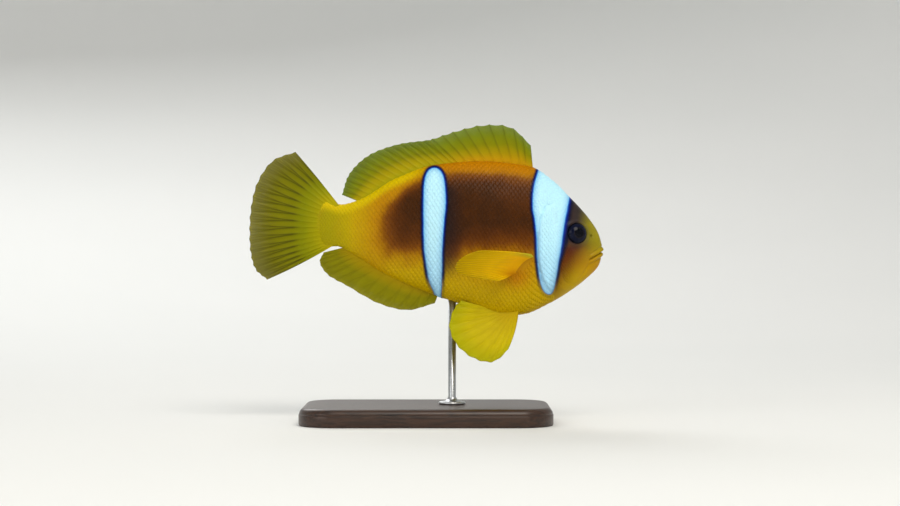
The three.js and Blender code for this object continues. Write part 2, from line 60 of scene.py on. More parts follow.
camera_data = bpy.data.cameras.new("studio_camera")
camera_data.lens = LENS
camera_data.sensor_width = SENSOR
camera = bpy.data.objects.new("studio_camera", camera_data)
bpy.context.scene.collection.objects.link(camera)
camera.location = VIEW_CENTRE + Vector((0, -VIEW_WIDTH * LENS / SENSOR, 0))
camera.rotation_euler = (math.radians(90), 0, 0)
bpy.context.scene.camera = camera
print("camera stands", round(-camera.location.y, 3), "m from the fish")

# %% [markdown]
# Small tools for materials.
# A paint chart gives a colour as an sRGB hex value, but light adds up in linear values, so one function
# turns one into the other. A material is a tree of nodes. One function adds a node with its settings and
# links and gives back the output that the next node needs, so that a tree reads from top to bottom like a
# list of steps.

# %% Colours
def linear(hex_value):
    """An sRGB hex colour as linear values, with an alpha of 1."""
    parts = [int(hex_value[i : i + 2], 16) / 255 for i in (1, 3, 5)]
    return [p / 12.92 if p <= 0.04045 else ((p + 0.055) / 1.055) ** 2.4 for p in parts] + [1]


print("mid grey, linear:", round(linear("#808080")[0], 3))


# %% Nodes
def add(tree, kind, settings=None, links=None, out=0):
    """Adds a node. A link is a plain value, an sRGB hex colour, or the output that feeds the socket."""
    node = tree.nodes.new("ShaderNode" + kind)
    for name, value in (settings or {}).items():
        if name == "stops":
            band = node.color_ramp.elements
            while len(band) < len(value):
                band.new(0.5)
            for stop, (at, shade) in zip(band, value):
                stop.position = at
                stop.color = linear(shade) if isinstance(shade, str) else (shade, shade, shade, 1)
        else:
            setattr(node, name, value)
    for name, value in (links or {}).items():
        if isinstance(value, bpy.types.NodeSocket):
            tree.links.new(value, node.inputs[name])
        else:
            node.inputs[name].default_value = linear(value) if isinstance(value, str) else value
    return node.outputs[out] if len(node.outputs) else None


def new_material(name):
    """A material with an empty tree."""
    made = bpy.data.materials.new(name)
    made.use_nodes = True
    made.node_tree.nodes.clear()
    print("new material:", name)
    return made, made.node_tree


# %% [markdown]
# Small tools for meshes.
# Curves and modifiers could make these pieces too, but a mesh worked out with arrays is quick, has no stray
# faces and comes out the same each time. A grid of points is joined by quads, and one function turns points
# and faces into an object, with named vectors kept at the points for a material to read.

# %% Faces
def rows_of(grid):
    """The quads between the points of a grid of point numbers."""
    quads = np.stack([grid[:-1, :-1], grid[1:, :-1], grid[1:, 1:], grid[:-1, 1:]], -1)
    return quads.reshape(-1, 4)


def round_grid(rows, columns):
    """Point numbers of a grid whose last column meets its first."""
    grid = np.arange(rows * columns).reshape(rows, columns)
    return np.concatenate([grid, grid[:, :1]], 1)


print("a grid of 3 by 4 points has", len(rows_of(np.arange(12).reshape(3, 4))), "quads")


# %% Pieces
def make_piece(name, points, faces, material, flat_from=None, marks=None):
    """A mesh object from points in millimetres and arrays of faces. marks are named vectors, one a point."""
    mesh = bpy.data.meshes.new(name)
    counts = np.concatenate([np.full(len(group), group.shape[1]) for group in faces])
    corners = np.concatenate([group.ravel() for group in faces]).astype(np.int32)
    mesh.vertices.add(len(points))
    mesh.vertices.foreach_set("co", (np.asarray(points) * MM).astype(np.float32).ravel())
    mesh.loops.add(len(corners))
    mesh.polygons.add(len(counts))
    mesh.polygons.foreach_set("loop_start", np.concatenate([[0], np.cumsum(counts)[:-1]]).astype(np.int32))
    mesh.polygons.foreach_set("vertices", corners)
    smooth = np.ones(len(counts), bool)
    if flat_from is not None:
        smooth[flat_from:] = False
    mesh.polygons.foreach_set("use_smooth", smooth)
    for key, values in (marks or {}).items():
        layer = mesh.attributes.new(key, "FLOAT_VECTOR", "POINT")
        layer.data.foreach_set("vector", np.asarray(values, np.float32).ravel())
    mesh.update(calc_edges=True)
    mesh.materials.append(material)
    made = bpy.data.objects.new(name, mesh)
    bpy.context.scene.collection.objects.link(made)
    print(f"{name}: {len(points)} points, {int((counts - 2).sum())} triangles")
    return made


# %% [markdown]
# The backdrop.
# A studio stands its subject on matt paper that curls up into a wall. Here the paper is a round dish with a
# rim that curls up: it has no corner, so nothing but the model draws the eye, and it works from every side.
# A flat plane would end in a horizon. Matt paper is pressed from short fibres: it scatters light and hardly
# shines, so its roughness is 0.9. A real sheet's clouds are 5 mm wide and wouldn't show, so they are drawn
# far wider.

# %% Backdrop paper
DISH_FLAT = 450  # the flat part's radius
DISH_CURL = 1600  # the radius that its rim curls up with
PAPER_CLOUD = 683  # how wide the faint clouds are drawn

backdrop_paper, tree = new_material("matt_white_backdrop_paper")
# A noise without a link counts across the whole object, so its scale is the number of clouds across the dish.
clouds_across = 2 * (DISH_FLAT + DISH_CURL) / PAPER_CLOUD
grain = add(tree, "TexNoise", links={"Scale": clouds_across, "Detail": 3.0})
paper = add(tree, "ValToRGB", {"stops": [(0.3, "#E9EAE8"), (0.7, "#EFEFED")]}, {"Fac": grain})
shader = add(tree, "BsdfPrincipled", links={"Base Color": paper, "Roughness": 0.9})
add(tree, "OutputMaterial", links={"Surface": shader})

# %% Dish
DISH_HEIGHT = 2600
DISH_RINGS = 12  # in the flat part
DISH_BENDS = 16  # in the curl
DISH_TURNS = 96

turns = np.linspace(0, 2 * np.pi, DISH_TURNS + 1)[:-1]
bend = np.linspace(0, np.pi / 2, DISH_BENDS + 1)[1:]
radii = np.concatenate([np.linspace(0.1, DISH_FLAT, DISH_RINGS), DISH_FLAT + DISH_CURL * np.sin(bend)])
radii = np.append(radii, DISH_FLAT + DISH_CURL)
levels = np.concatenate([np.zeros(DISH_RINGS), DISH_CURL * (1 - np.cos(bend)), [DISH_HEIGHT]])
east, north, height = (
    np.outer(radii, np.cos(turns)),
    np.outer(radii, np.sin(turns)),
    np.outer(levels, np.ones(DISH_TURNS)),
)
dish_points = np.stack([east, north, height], -1)
grid = round_grid(len(radii), DISH_TURNS)
hub = grid[0, :-1][None, :]
dish = make_piece("backdrop_dish", dish_points.reshape(-1, 3), [rows_of(grid), hub], backdrop_paper)

# %% [markdown]
# The lamps.
# Three big round softboxes stand where a studio has them: a warm key high up on the snout's side, a fill on
# the tail's side and one behind that draws a bright edge. A small lamp would draw hard shadows, and big ones
# draw soft ones. A little grey air light keeps the shaded side readable. The colours go to the screen as
# they are, so a hex value can be judged by eye.

# %% Lamps
bpy.context.scene.view_settings.view_transform = "Standard"
world = bpy.data.worlds.new("studio_air")
world.use_nodes = True
world.node_tree.nodes["Background"].inputs["Color"].default_value = linear("#EEF0F2")
world.node_tree.nodes["Background"].inputs["Strength"].default_value = 0.5
bpy.context.scene.world = world

FISH_CENTRE = Vector((5, 0, 65)) * MM
LAMPS = [  # name, place in metres, size in metres, watts, colour
    ("key_softbox", (0.25, -0.75, 0.95), 0.7, 8.5, "#FFFAF0"),
    ("fill_softbox", (-1.0, -1.0, 0.4), 0.9, 4.9, "#FFFFFF"),
    ("back_softbox", (-0.35, 0.8, 0.75), 0.7, 4.2, "#FFFFFF"),
]
for name, place, size, watts, shade in LAMPS:
    lamp = bpy.data.lights.new(name, "AREA")
    lamp.shape = "DISK"
    lamp.size = size
    lamp.energy = watts
    lamp.color = linear(shade)[:3]
    holder = bpy.data.objects.new(name, lamp)
    bpy.context.scene.collection.objects.link(holder)
    holder.location = place
    holder.rotation_euler = (FISH_CENTRE - holder.location).to_track_quat("-Z", "Y").to_euler()
print("lamps:", ", ".join(lamp[0] for lamp in LAMPS))

# %% [markdown]
# The body's form.
# Seen from the side a fish is two smooth lines, the back and the belly; seen from above it is one, the half
# width. Between them every cross-section is an oval that is sharper where the body has a keel. Tables of a
# few sizes drive all of them, so the skin, the scales and the roots of the fins share one surface and never
# part. It could be sculpted instead, but then no size could be read or changed.

# %% Smooth tables
def smooth_table(rows, warp=lambda at: at):
    """A smooth line through [at, value] rows that never overshoots them."""
    at, value = np.array(rows, float).T
    at = warp(at)
    slope = np.diff(value) / np.diff(at)
    both = slope[:-1] * slope[1:]
    total = slope[:-1] + slope[1:]
    inner = np.where(both > 0, 2 * both / np.where(total == 0, 1, total), 0)
    tangent = np.concatenate([slope[:1], inner, slope[-1:]])

    def read(wanted):
        w = np.clip(warp(np.asarray(wanted, float)), at[0], at[-1])
        i = np.clip(np.searchsorted(at, w, "right") - 1, 0, len(at) - 2)
        span = at[i + 1] - at[i]
        t = (w - at[i]) / span
        rise = (3 * t**2 - 2 * t**3) * (value[i + 1] - value[i]) + value[i]
        return rise + span * ((t**3 - 2 * t**2 + t) * tangent[i] + (t**3 - t**2) * tangent[i + 1])

    return read


def root(at):
    """Read through its square root, a line is rounded off at zero."""
    return np.sqrt(np.maximum(at, 0))


print("half way from 0 to 4 lies", float(smooth_table([[0, 0], [1, 4]])(0.5)))

# %% The lines that drive the body: each row is the distance behind the snout and a level or width there
SNOUT_X = 59.3
BODY_LENGTH = 93.1
BACK = smooth_table(
    [
        [0, 58.2], [0.4, 60.5], [1.3, 63.4], [4.2, 68.1], [10.9, 75.6], [16.8, 81.4], [24.5, 86.1],
        [41.3, 87.9], [56.4, 86.7], [69.9, 82.0], [82.3, 74.8], [88, 73.4], [93.1, 74.6],
    ],
    root,
)
BELLY = smooth_table(
    [
        [0, 58.2], [0.4, 55.0], [1.2, 52.6], [4.7, 48.7], [9.4, 44.9], [18.1, 39.6], [26.9, 36.0],
        [33.5, 35.5], [46.4, 39.0], [59.8, 43.7], [73.2, 49.4], [85, 56.8], [89.5, 58.8], [93.1, 58.6],
    ],
    root,
)
HALF_WIDTH = smooth_table(
    [
        [0, 0], [1.2, 2.6], [4, 4.6], [9, 6.9], [16, 8.6], [26, 9.6], [36, 9.5], [50, 8.1], [64, 5.9],
        [78, 3.7], [88, 2.3], [93.1, 1.6],
    ],
    root,
)
# How high up its cross-section the body is widest, as a share of its height.
WIDEST = smooth_table([[0, 0.5], [9, 0.52], [26, 0.5], [60, 0.54], [93.1, 0.5]])
# How sharply a cross-section closes: 1 is an ellipse, more is a keel, less is a flat cap.
BACK_KEEL = smooth_table([[0, 0.9], [9, 0.8], [20, 0.95], [32, 1.15], [62, 1.2], [93.1, 0.8]])
BELLY_KEEL = smooth_table([[0, 0.9], [9, 0.9], [20, 0.85], [33, 0.78], [52, 0.95], [72, 1.15], [93.1, 0.8]])
depth, width = BACK(34) - BELLY(34), 2 * HALF_WIDTH(28)
print("body depth", round(float(depth), 1), "mm, width", round(float(width), 1), "mm")

# %% How the tail bends
TAIL_SWAY = 5  # how far the tail's tip swings to the left
SWAY_START = -5  # the x where the spine starts to bend
SWAY_RUN = 55


def sway(x):
    """How far the bent tail has swung to the left at x."""
    return TAIL_SWAY * (np.maximum(0, SWAY_START - x) / SWAY_RUN) ** 2


print("the tail's edge swings", round(float(sway(-60)), 1), "mm to the left")

# %% The body's surface
TAIL_PLATE = 4.2  # the flesh runs this far on over the root of the tail fin
PLATE_THIN = 0.82  # the share of its width that it loses on the way
PLATE_LOW = 0.12  # and of its height


def levels_at(behind):
    """The top, the bottom and the widest level of the body."""
    top, bottom = BACK(behind), BELLY(behind)
    return top, bottom, bottom + (top - bottom) * WIDEST(behind)


def body_at(behind, turn):
    """A point of the skin. turn 0 is the left side, a quarter turn the back, a half turn the right."""
    top, bottom, middle = levels_at(behind)
    past = np.clip((behind - BODY_LENGTH) / TAIL_PLATE, 0, 1)
    half = HALF_WIDTH(behind) * (1 - PLATE_THIN * past)
    up, out = np.sin(turn), np.cos(turn)
    keel = np.where(up > 0, BACK_KEEL(behind), BELLY_KEEL(behind))
    x = SNOUT_X - behind + 0.5 * TAIL_PLATE * past * up**2
    y = half * np.sign(out) * np.abs(out) ** keel + sway(x)
    z = middle + up * np.where(up > 0, top - middle, middle - bottom) * (1 - PLATE_LOW * past**2)
    return np.stack([x, y, z], -1)


def body_normal(behind, turn):
    """The direction out of the skin, from two short steps over the surface."""
    u = np.sqrt(behind / BODY_LENGTH)
    step = 2e-3
    ahead = body_at(BODY_LENGTH * np.maximum(u - step, 0) ** 2, turn)
    along = body_at(BODY_LENGTH * (u + step) ** 2, turn) - ahead
    around = body_at(behind, turn + step) - body_at(behind, turn - step)
    normal = np.cross(along, around)
    return normal / np.maximum(np.linalg.norm(normal, axis=-1, keepdims=True), 1e-9)


def side_at(behind, z):
    """The half width of the body at a level."""
    top, bottom, middle = levels_at(behind)
    rise = np.where(z > middle, (z - middle) / (top - middle), (middle - z) / (middle - bottom))
    keel = np.where(z > middle, BACK_KEEL(behind), BELLY_KEEL(behind))
    return HALF_WIDTH(behind) * np.sqrt(np.maximum(0, 1 - rise**2)) ** keel


print("at its end the flesh is", round(2 * float(HALF_WIDTH(99) * (1 - PLATE_THIN)), 1), "mm thick")

# %% [markdown]
# What stands out of the skin.
# A fish's head is skin over bone: the gill cover is a plate with a free edge, the cheek has a finer edge in
# front of it, the eye sits in a round rim, the mouth has full lips, and there is one nostril on each side.
# Each is a few lines of height over the smooth body, in millimetres, so its size is read and changed here.
# Their outlines are drawn on the side of the head, as x and z, and a point's height follows from how far it
# is from them.

# %% Soft steps and humps
def smoothstep(low, high, value):
    """Rises softly from 0 at low to 1 at high."""
    share = np.clip((np.asarray(value, float) - low) / (high - low), 0, 1)
    return share * share * (3 - 2 * share)


def hump(value, at, width):
    """A soft hump of height 1 round "at"."""
    return np.exp(-(((value - at) / width) ** 2))


print("one width away a hump is", round(float(hump(1, 0, 1)), 2), "high")


# %% Smooth outlines
def catmull(points, share):
    """Centripetal Catmull-Rom line through the points, read at shares of the way from first to last."""
    points = np.asarray(points, float)
    padded = np.concatenate([[2 * points[0] - points[1]], points, [2 * points[-1] - points[-2]]])
    place = np.clip(np.asarray(share, float), 0, 1) * (len(points) - 1)
    i = np.minimum(place.astype(int), len(points) - 2)
    t = (place - i)[..., None]
    p0, p1, p2, p3 = (padded[i + k] for k in range(4))
    d0, d1, d2 = (
        np.maximum(np.linalg.norm(b - a, axis=-1, keepdims=True), 1e-8) ** 0.5
        for a, b in ((p0, p1), (p1, p2), (p2, p3))
    )
    t1 = ((p1 - p0) / d0 - (p2 - p0) / (d0 + d1) + (p2 - p1) / d1) * d1
    t2 = ((p2 - p1) / d1 - (p3 - p1) / (d1 + d2) + (p3 - p2) / d2) * d1
    return p1 + t1 * t + (3 * (p2 - p1) - 2 * t1 - t2) * t**2 + (2 * (p1 - p2) + t1 + t2) * t**3


def outline(points, count):
    return catmull(points, np.linspace(0, 1, count))


print("a bow through three points:", outline([[0, 0], [1, 1], [2, 0]], 5).round(2).tolist())


# %% Distances to outlines
def line_distance(x, z, line):
    """Distance to a line of points, the side of it (+1 on its right hand), and the share of the way."""
    best = np.full(np.shape(x), 1e9)
    side = np.ones(np.shape(x))
    share = np.zeros(np.shape(x))
    for i, ((ax, az), (bx, bz)) in enumerate(zip(line[:-1], line[1:])):
        dx, dz = bx - ax, bz - az
        t = np.clip(((x - ax) * dx + (z - az) * dz) / (dx * dx + dz * dz), 0, 1)
        far = np.hypot(x - ax - t * dx, z - az - t * dz)
        nearer = far < best
        best = np.where(nearer, far, best)
        side = np.where(nearer, np.sign(dz * (x - ax) - dx * (z - az) + 1e-9), side)
        share = np.where(nearer, (i + t) / (len(line) - 1), share)
    return best, side, share


def ring_depth(x, z, ring):
    """How far inside a closed outline a point lies; below zero it is outside."""
    inside = np.zeros(np.shape(x), bool)
    for (ax, az), (bx, bz) in zip(ring[:-1], ring[1:]):
        if az != bz:
            inside ^= ((az > z) != (bz > z)) & (x < ax + (z - az) * (bx - ax) / (bz - az))
    return line_distance(x, z, ring)[0] * np.where(inside, 1, -1)


upright_line = [(0, -1), (0, 1)]
print("from (2, 0) it is", line_distance(np.array([2.0]), np.array([0.0]), upright_line)[0][0], "mm to it")

# %% Gill cover and cheek
GILL_COVER = outline(
    [
        [44.2, 73.2], [40.2, 72.2], [38, 67.2], [37.3, 59.6], [37.8, 51.8], [40.2, 45.6], [44.6, 42.4],
        [48, 43.8], [46.4, 49.6], [45.2, 56.2], [44.8, 64.6], [44.2, 73.2],
    ],
    100,
)
CHEEK_EDGE = outline([[46.4, 68.5], [45.4, 62], [44.8, 55], [45.1, 49.6], [46.9, 46.6], [50.4, 45.6]], 40)
GILL_PROUD = 0.6  # how far the gill cover's free edge stands out
GILL_GROOVE = 0.35  # how deep the groove behind it is
CHEEK_PROUD = 0.2


def gill_and_cheek(x, y, z):
    inside = ring_depth(x, z, GILL_COVER)
    front = smoothstep(40, 43.6, x)  # in front the cover runs into the cheek and has no free edge
    free_edge = GILL_PROUD * smoothstep(-0.12, 0.3, inside)
    groove = -GILL_GROOVE * hump(inside, -0.4, 0.32)
    gill = (1 - front) * (free_edge + groove) + front * GILL_PROUD * smoothstep(0, 3.5, inside)
    far, side, share = line_distance(x, z, CHEEK_EDGE)
    ahead = far * side
    ends = smoothstep(0, 0.15, share) * smoothstep(1, 0.85, share)
    plate = CHEEK_PROUD * np.where(ahead > 0, np.exp(-ahead / 3.5), 1) * smoothstep(-0.15, 0.15, ahead)
    return gill + ends * (plate - 0.5 * CHEEK_PROUD * hump(ahead, -0.35, 0.3))


print("gill cover is", round(float(np.ptp(GILL_COVER[:, 1])), 1), "mm high")

# %% The bone under the eye and the crease behind the jaw
EYE_BONE = outline([[57.3, 58.9], [54.6, 57.3], [50.9, 57.0], [47.4, 58.6], [45.9, 61.6]], 30)
JAW_CREASE = outline([[54.9, 54.3], [53.4, 50.9], [51.6, 48.6], [48.4, 46.2]], 20)
BONE_PROUD = 0.16
CREASE_DEEP = 0.22


def bone_and_crease(x, y, z):
    far, side, share = line_distance(x, z, EYE_BONE)
    above = -far * side
    ends = smoothstep(0, 0.12, share) * smoothstep(1, 0.8, share)
    bone = ends * BONE_PROUD * np.where(above > 0, np.exp(-above / 1.8), 1) * smoothstep(-0.18, 0.18, above)
    far, _, share = line_distance(x, z, JAW_CREASE)
    return bone - CREASE_DEEP * hump(far, 0, 0.35) * smoothstep(1, 0.3, share)


print("bone", BONE_PROUD, "mm proud, crease", CREASE_DEEP, "mm deep")

# %% The places of eye and nostril
EYE = {"x": 50.4, "z": 63.4, "radius": 3.7, "flatness": 0.8, "disc": 3.25}
NOSTRIL = {"x": 55.2, "z": 62.6}


def head_place(place):
    """The spot on the right side of the head, and the direction it faces."""
    behind = SNOUT_X - place["x"]
    z = place["z"]
    step = 2.0
    spot = np.array([place["x"], -float(side_at(behind, z)), z])
    forward = float(side_at(behind + step, z) - side_at(behind - step, z)) / (2 * step)
    upward = float(side_at(behind, z - step) - side_at(behind, z + step)) / (2 * step)
    facing = np.array([forward, -1, upward])
    return spot, facing / np.linalg.norm(facing)


EYE_SPOT, EYE_FACING = head_place(EYE)
NOSTRIL_SPOT, NOSTRIL_FACING = head_place(NOSTRIL)
print("the eye looks", round(math.degrees(math.asin(EYE_FACING[0])), 1), "degrees forward of square")

# %% Eye socket and nostril
RIM_PROUD = 0.34
SOCKET_DEEP = 2.4
HOLE_DEEP = 0.55


def from_axis(points, spot, facing):
    """How far the points are from the axis through a spot, and whether they lie on its side of the head."""
    apart = points - spot
    ahead = apart @ facing
    return np.linalg.norm(apart - ahead[..., None] * facing, axis=-1), ahead > -4


def eye_and_nostril(x, y, z):
    points = np.stack([x, y, z], -1)
    far, near_side = from_axis(points, EYE_SPOT, EYE_FACING)
    rim = RIM_PROUD * hump(far, 3.95, 0.5) - 0.14 * hump(far, 5.2, 0.7)
    socket = np.where(near_side, rim - SOCKET_DEEP * smoothstep(3.5, 2.8, far), 0)
    far, near_side = from_axis(points, NOSTRIL_SPOT, NOSTRIL_FACING)
    hole = 0.2 * hump(far, 0.72, 0.24) - HOLE_DEEP * smoothstep(0.52, 0.25, far)
    return socket + np.where(near_side, hole, 0)


print("socket", SOCKET_DEEP, "mm deep inside a rim", RIM_PROUD, "mm proud")

# %% Mouth
MOUTH = {"tip_z": 57.2, "corner_behind": 4.6, "corner_z": 54.6}
UPPER_LIP = 0.46
LOWER_LIP = 0.42
SLIT_DEEP = 0.85


def mouth(x, y, z):
    behind = SNOUT_X - x
    slope = (MOUTH["corner_z"] - MOUTH["tip_z"]) / MOUTH["corner_behind"]
    above = z - MOUTH["tip_z"] - slope * behind
    upper = UPPER_LIP * hump(above, 0.85, 0.6) - 0.2 * hump(above, 1.85, 0.28)
    lower = LOWER_LIP * hump(above, -0.85, 0.55) - 0.18 * hump(above, -1.8, 0.28)
    slit = SLIT_DEEP * hump(above, 0, 0.2) * smoothstep(5.0, 4.3, behind)
    return smoothstep(5.6, 3.6, behind) * (upper + lower) - slit


print("the mouth's slit is", SLIT_DEEP, "mm deep and ends", MOUTH["corner_behind"], "mm behind the snout")

# %% The fleshy fold at the breast fin's root, and the vent
FOLD_MIDDLE = (32.6, 53.5)
FOLD_RUN = (5.6, 6.2)  # the direction it runs in
FOLD_PROUD = 0.55
VENT_X = 4.4


def fold_place(x, z):
    """How far along and across the fold a point lies."""
    dx, dz = x - FOLD_MIDDLE[0], z - FOLD_MIDDLE[1]
    run_x, run_z = np.array(FOLD_RUN) / math.hypot(*FOLD_RUN)
    return dx * run_x + dz * run_z, dx * run_z - dz * run_x


def fin_fold(x, y, z):
    along, across = fold_place(x, z)
    return FOLD_PROUD * hump(across, 0, 1.5) * np.exp(-((along / 4.4) ** 4))


def vent(x, y, z):
    far = np.hypot(x - VENT_X, y)
    return np.where(z < 46, 0.25 * hump(far, 0.7, 0.35) - 0.5 * smoothstep(0.5, 0.1, far), 0)


print("a point at the fold's middle lies at", fold_place(*FOLD_MIDDLE), "along and across it")

# %% The relief of the skin
FEATURES = [  # from x, to x, the heights, and whether they fade out at the middle line
    (30, 56, gill_and_cheek, True),
    (42, 99, bone_and_crease, True),
    (42, 99, eye_and_nostril, False),
    (53, 99, mouth, False),
    (20, 46, fin_fold, True),
    (-2, 10, vent, False),
]


def relief(points):
    """How far the skin stands out of the smooth body, in millimetres."""
    x, y, z = points[..., 0], -np.abs(points[..., 1]), points[..., 2]
    off_middle = smoothstep(0.6, 2.2, -y)
    height = np.zeros(x.shape)
    for low, high, feature, fades in FEATURES:
        near = (x > low) & (x < high)
        found = feature(x[near], y[near], z[near])
        height[near] += found * off_middle[near] if fades else found
    return height


print(len(FEATURES), "groups of features stand out of the skin")

# %% [markdown]
# The markings.
# The species is named for its two white bars, each with a blue shine and a blue-black rim. Between them
# lies a brown saddle, and the rest runs from orange at the back to yellow at the belly. An image would do,
# but it would have to be painted. Here each marking is worked out as a number at every point: for a bar,
# how deep inside its edge the point lies. The material chooses the colours from these numbers, so an edge
# stays sharp however coarse the mesh is, and the skin and the scales that lie on it can't differ.

# %% Where the bars and the saddle lie, as x and z on the fish's side
HEAD_BAR = [  # up the rear edge, over the nape and down the front edge
    [40.8, 42.9], [39.4, 43.7], [38.2, 45.9], [36.8, 54.5], [36.6, 60.5], [36.2, 66.2], [35.3, 72.3],
    [35.8, 79], [37.8, 85.4], [42, 96], [52, 90], [49.6, 80], [48.0, 75.3], [47.2, 72.3], [45.9, 65.7],
    [45.0, 59.5], [44.1, 54.5], [43.3, 48.6], [42.5, 44.8], [41.8, 43.2], [40.8, 42.9],
]
MID_BAR = [  # the same way round
    [2.7, 30], [2.7, 42.4], [1.0, 47], [-0.1, 52.5], [-0.8, 59.2], [-1.0, 68.6], [-0.9, 78], [-0.4, 82.2],
    [0.9, 84.7], [2.7, 85.4], [4.4, 84.7], [5.7, 82.4], [6.4, 78], [6.5, 73.3], [5.8, 64.2], [5.3, 55],
    [5.2, 46.7], [5.0, 42], [4.9, 30], [2.7, 30],
]
BARS = [outline(points, 90) for points in (HEAD_BAR, MID_BAR)]
# By x: the saddle's upper and lower edge, and how far its lower edge fades.
SADDLE_TOP = smooth_table(
    [[-20, 71], [-14, 73.6], [-9, 76.6], [-5, 79.3], [0, 81.6], [9.6, 83.1], [21, 83.3], [34, 82.4]]
)
SADDLE_FOOT = smooth_table(
    [[-20, 56.5], [-14, 56.5], [-9, 57.8], [-4, 58.8], [9, 56.8], [13, 59.2], [28, 60], [34, 59.4]]
)
SADDLE_FADE = smooth_table([[-14, 6.5], [-9, 8.5], [-4, 11], [9, 8], [28, 8.5], [34, 10]])
print("bars", [round(float(np.ptp(bar[:, 0])), 1) for bar in BARS], "mm wide at most")


# %% Bars and saddle
def bar_depth(bar, x, z):
    """How far inside a bar's edge a point lies, in millimetres; below zero it is outside."""
    depth = np.full(x.shape, -9.0)
    near = (x > bar[:, 0].min() - 4) & (x < bar[:, 0].max() + 4)
    depth[near] = ring_depth(x[near], z[near], bar)
    return depth


def saddle_share(x, z):
    """The brown saddle. It ends softly before the tail stem and at its foot, and thins at the nape."""
    fade = SADDLE_FADE(x)
    return (
        smoothstep(-21.5, -5, x)
        * smoothstep(39.5, 37, x)
        * smoothstep(SADDLE_FOOT(x) - fade, SADDLE_FOOT(x) + fade, z)
        * smoothstep(SADDLE_TOP(x) + 3.5, SADDLE_TOP(x) - 4.8, z)
        * (1 - 0.2 * smoothstep(18, 34, x) * smoothstep(66, 78, z))
    )


print("the saddle covers", round(float(saddle_share(20, 70)), 2), "of the ground in its middle")

# %% Dark and brown patches of the head
def dark_share(x, z, ahead):
    """The blue-black mask over the brow and round the eye. ahead is the distance in front of the head bar."""
    brow = 0.92 * smoothstep(10.5, 3.5, ahead) * smoothstep(62, 67, z)
    socket = 1.5 * hump(x, 49.4, 4.1) * hump(z, 63.3, 4.2)
    temple = smoothstep(4.0, 1.5, ahead) * smoothstep(56.5, 60.5, z) * smoothstep(69, 66, z)
    return np.clip(np.maximum(np.maximum(brow, socket), temple), 0, 1) * smoothstep(42, 44, x)


def blotch_share(x, z):
    """The brown cheek, which fades forwards and down."""
    below_eye = x - 47.8 - 0.75 * (z - 56.5)
    reach = 9.8 + 1.5 * smoothstep(56.5, 53, z)
    return smoothstep(reach, -1.2, below_eye) * smoothstep(62.5, 58, z) * smoothstep(42, 43.5, x)


cheek_browns = [round(float(blotch_share(x, 54)), 2) for x in (46, 54)]
print("the cheek is", cheek_browns[0], "brown behind and", cheek_browns[1], "in front")

# %% All markings
def markings(points):
    """Four named vectors a point: bars, patches, tones and ends, each of three numbers."""
    x, z = points[..., 0], points[..., 2]
    head, mid = (bar_depth(bar, x, z) for bar in BARS)
    ahead = np.where(x > 42, -head, 9)
    rim_widening = 1 + 0.8 * smoothstep(52, 58, z)  # the head bar's front rim is broader beside the eye
    head = np.where((x > 42) & (head < 0), head / rim_widening, head)
    # painted shade on the bars, growing towards their foot
    low_bar_shade = smoothstep(66, 46, z)
    rim = 0.3 + 0.7 * smoothstep(43, 50, z)  # the rim is faint at a bar's foot

    behind = SNOUT_X - x
    tall = (z - BELLY(behind)) / np.maximum(BACK(behind) - BELLY(behind), 1)
    belly = smoothstep(0.42, 0.1, tall) * smoothstep(-24, -8, x) * smoothstep(60, 48, x)
    over_saddle = smoothstep(SADDLE_TOP(x) - 3, SADDLE_TOP(x) + 1.5, z)
    back = over_saddle * smoothstep(-4, 6, x) * smoothstep(40, 36, x)
    # painted shadow under the breast fin's root, over the deeper orange that the fish has there; it is drawn
    # in the orange back's tone
    fin_root_shade = 0.9 * hump(x, 29.8, 3.8) * hump(z, 49, 3.6)
    snout = smoothstep(46, 54, x) * smoothstep(51, 61, z)

    stem = 0.7 * smoothstep(-14, -28, x) + 0.3 * smoothstep(-24, -34, x)
    behind_bar = smoothstep(13.5, 6.5, x) * smoothstep(-1, 2, x)
    behind_bar = behind_bar * smoothstep(46, 54, z) * smoothstep(81, 77, z)
    # a painted highlight: the top of the back towards the tail is drawn paler, where the light falls from
    # above
    crest_highlight = smoothstep(4.5, 1.2, BACK(behind) - z) * smoothstep(4, -8, x)
    return {
        "bars": np.stack([np.maximum(head, mid), low_bar_shade, rim], -1),
        "patches": np.stack([saddle_share(x, z), dark_share(x, z, ahead), blotch_share(x, z)], -1),
        "tones": np.stack([belly, np.maximum(back, fin_root_shade), snout], -1),
        "ends": np.stack([stem, behind_bar, crest_highlight], -1),
    }


print("marks kept at every point:", ", ".join(markings(np.zeros((1, 3)))))

# %% [markdown]
# Skin and scales share one finish.
# Living fish skin is pigment under clear scales and a film of slime. That gives the eye a soft colour with
# a wet shine on top: a dielectric of IOR about 1.4, roughness about 0.4 below, and a thin clear coat. The
# colours are laid one over the other as on the fish: ochre ground, yellow belly, orange back, brown saddle,
# then the bars. Painted light lies among them too: a painted highlight along the top of the tail stem,
# painted shadow under the breast fin's root, and painted shade low on the bars. A noise with clouds 4.5 mm
# wide frays their edges, and one as fine as a pigment spot makes the skin uneven. Real spots are 0.1 mm
# wide, which would not show, so they are drawn four to six times as wide.

# %% Colours of the bars, from outside the rim to well inside
CLOUD_WIDTH = 4.5
BRIGHT_BAR = [
    (0.0, "#100D12"), (0.17, "#070D34"), (0.28, "#072086"), (0.34, "#2E76D2"), (0.40, "#80C2EE"),
    (0.55, "#A4DBF8"), (0.75, "#B6E8FE"), (1.0, "#BFEFFF"),
]
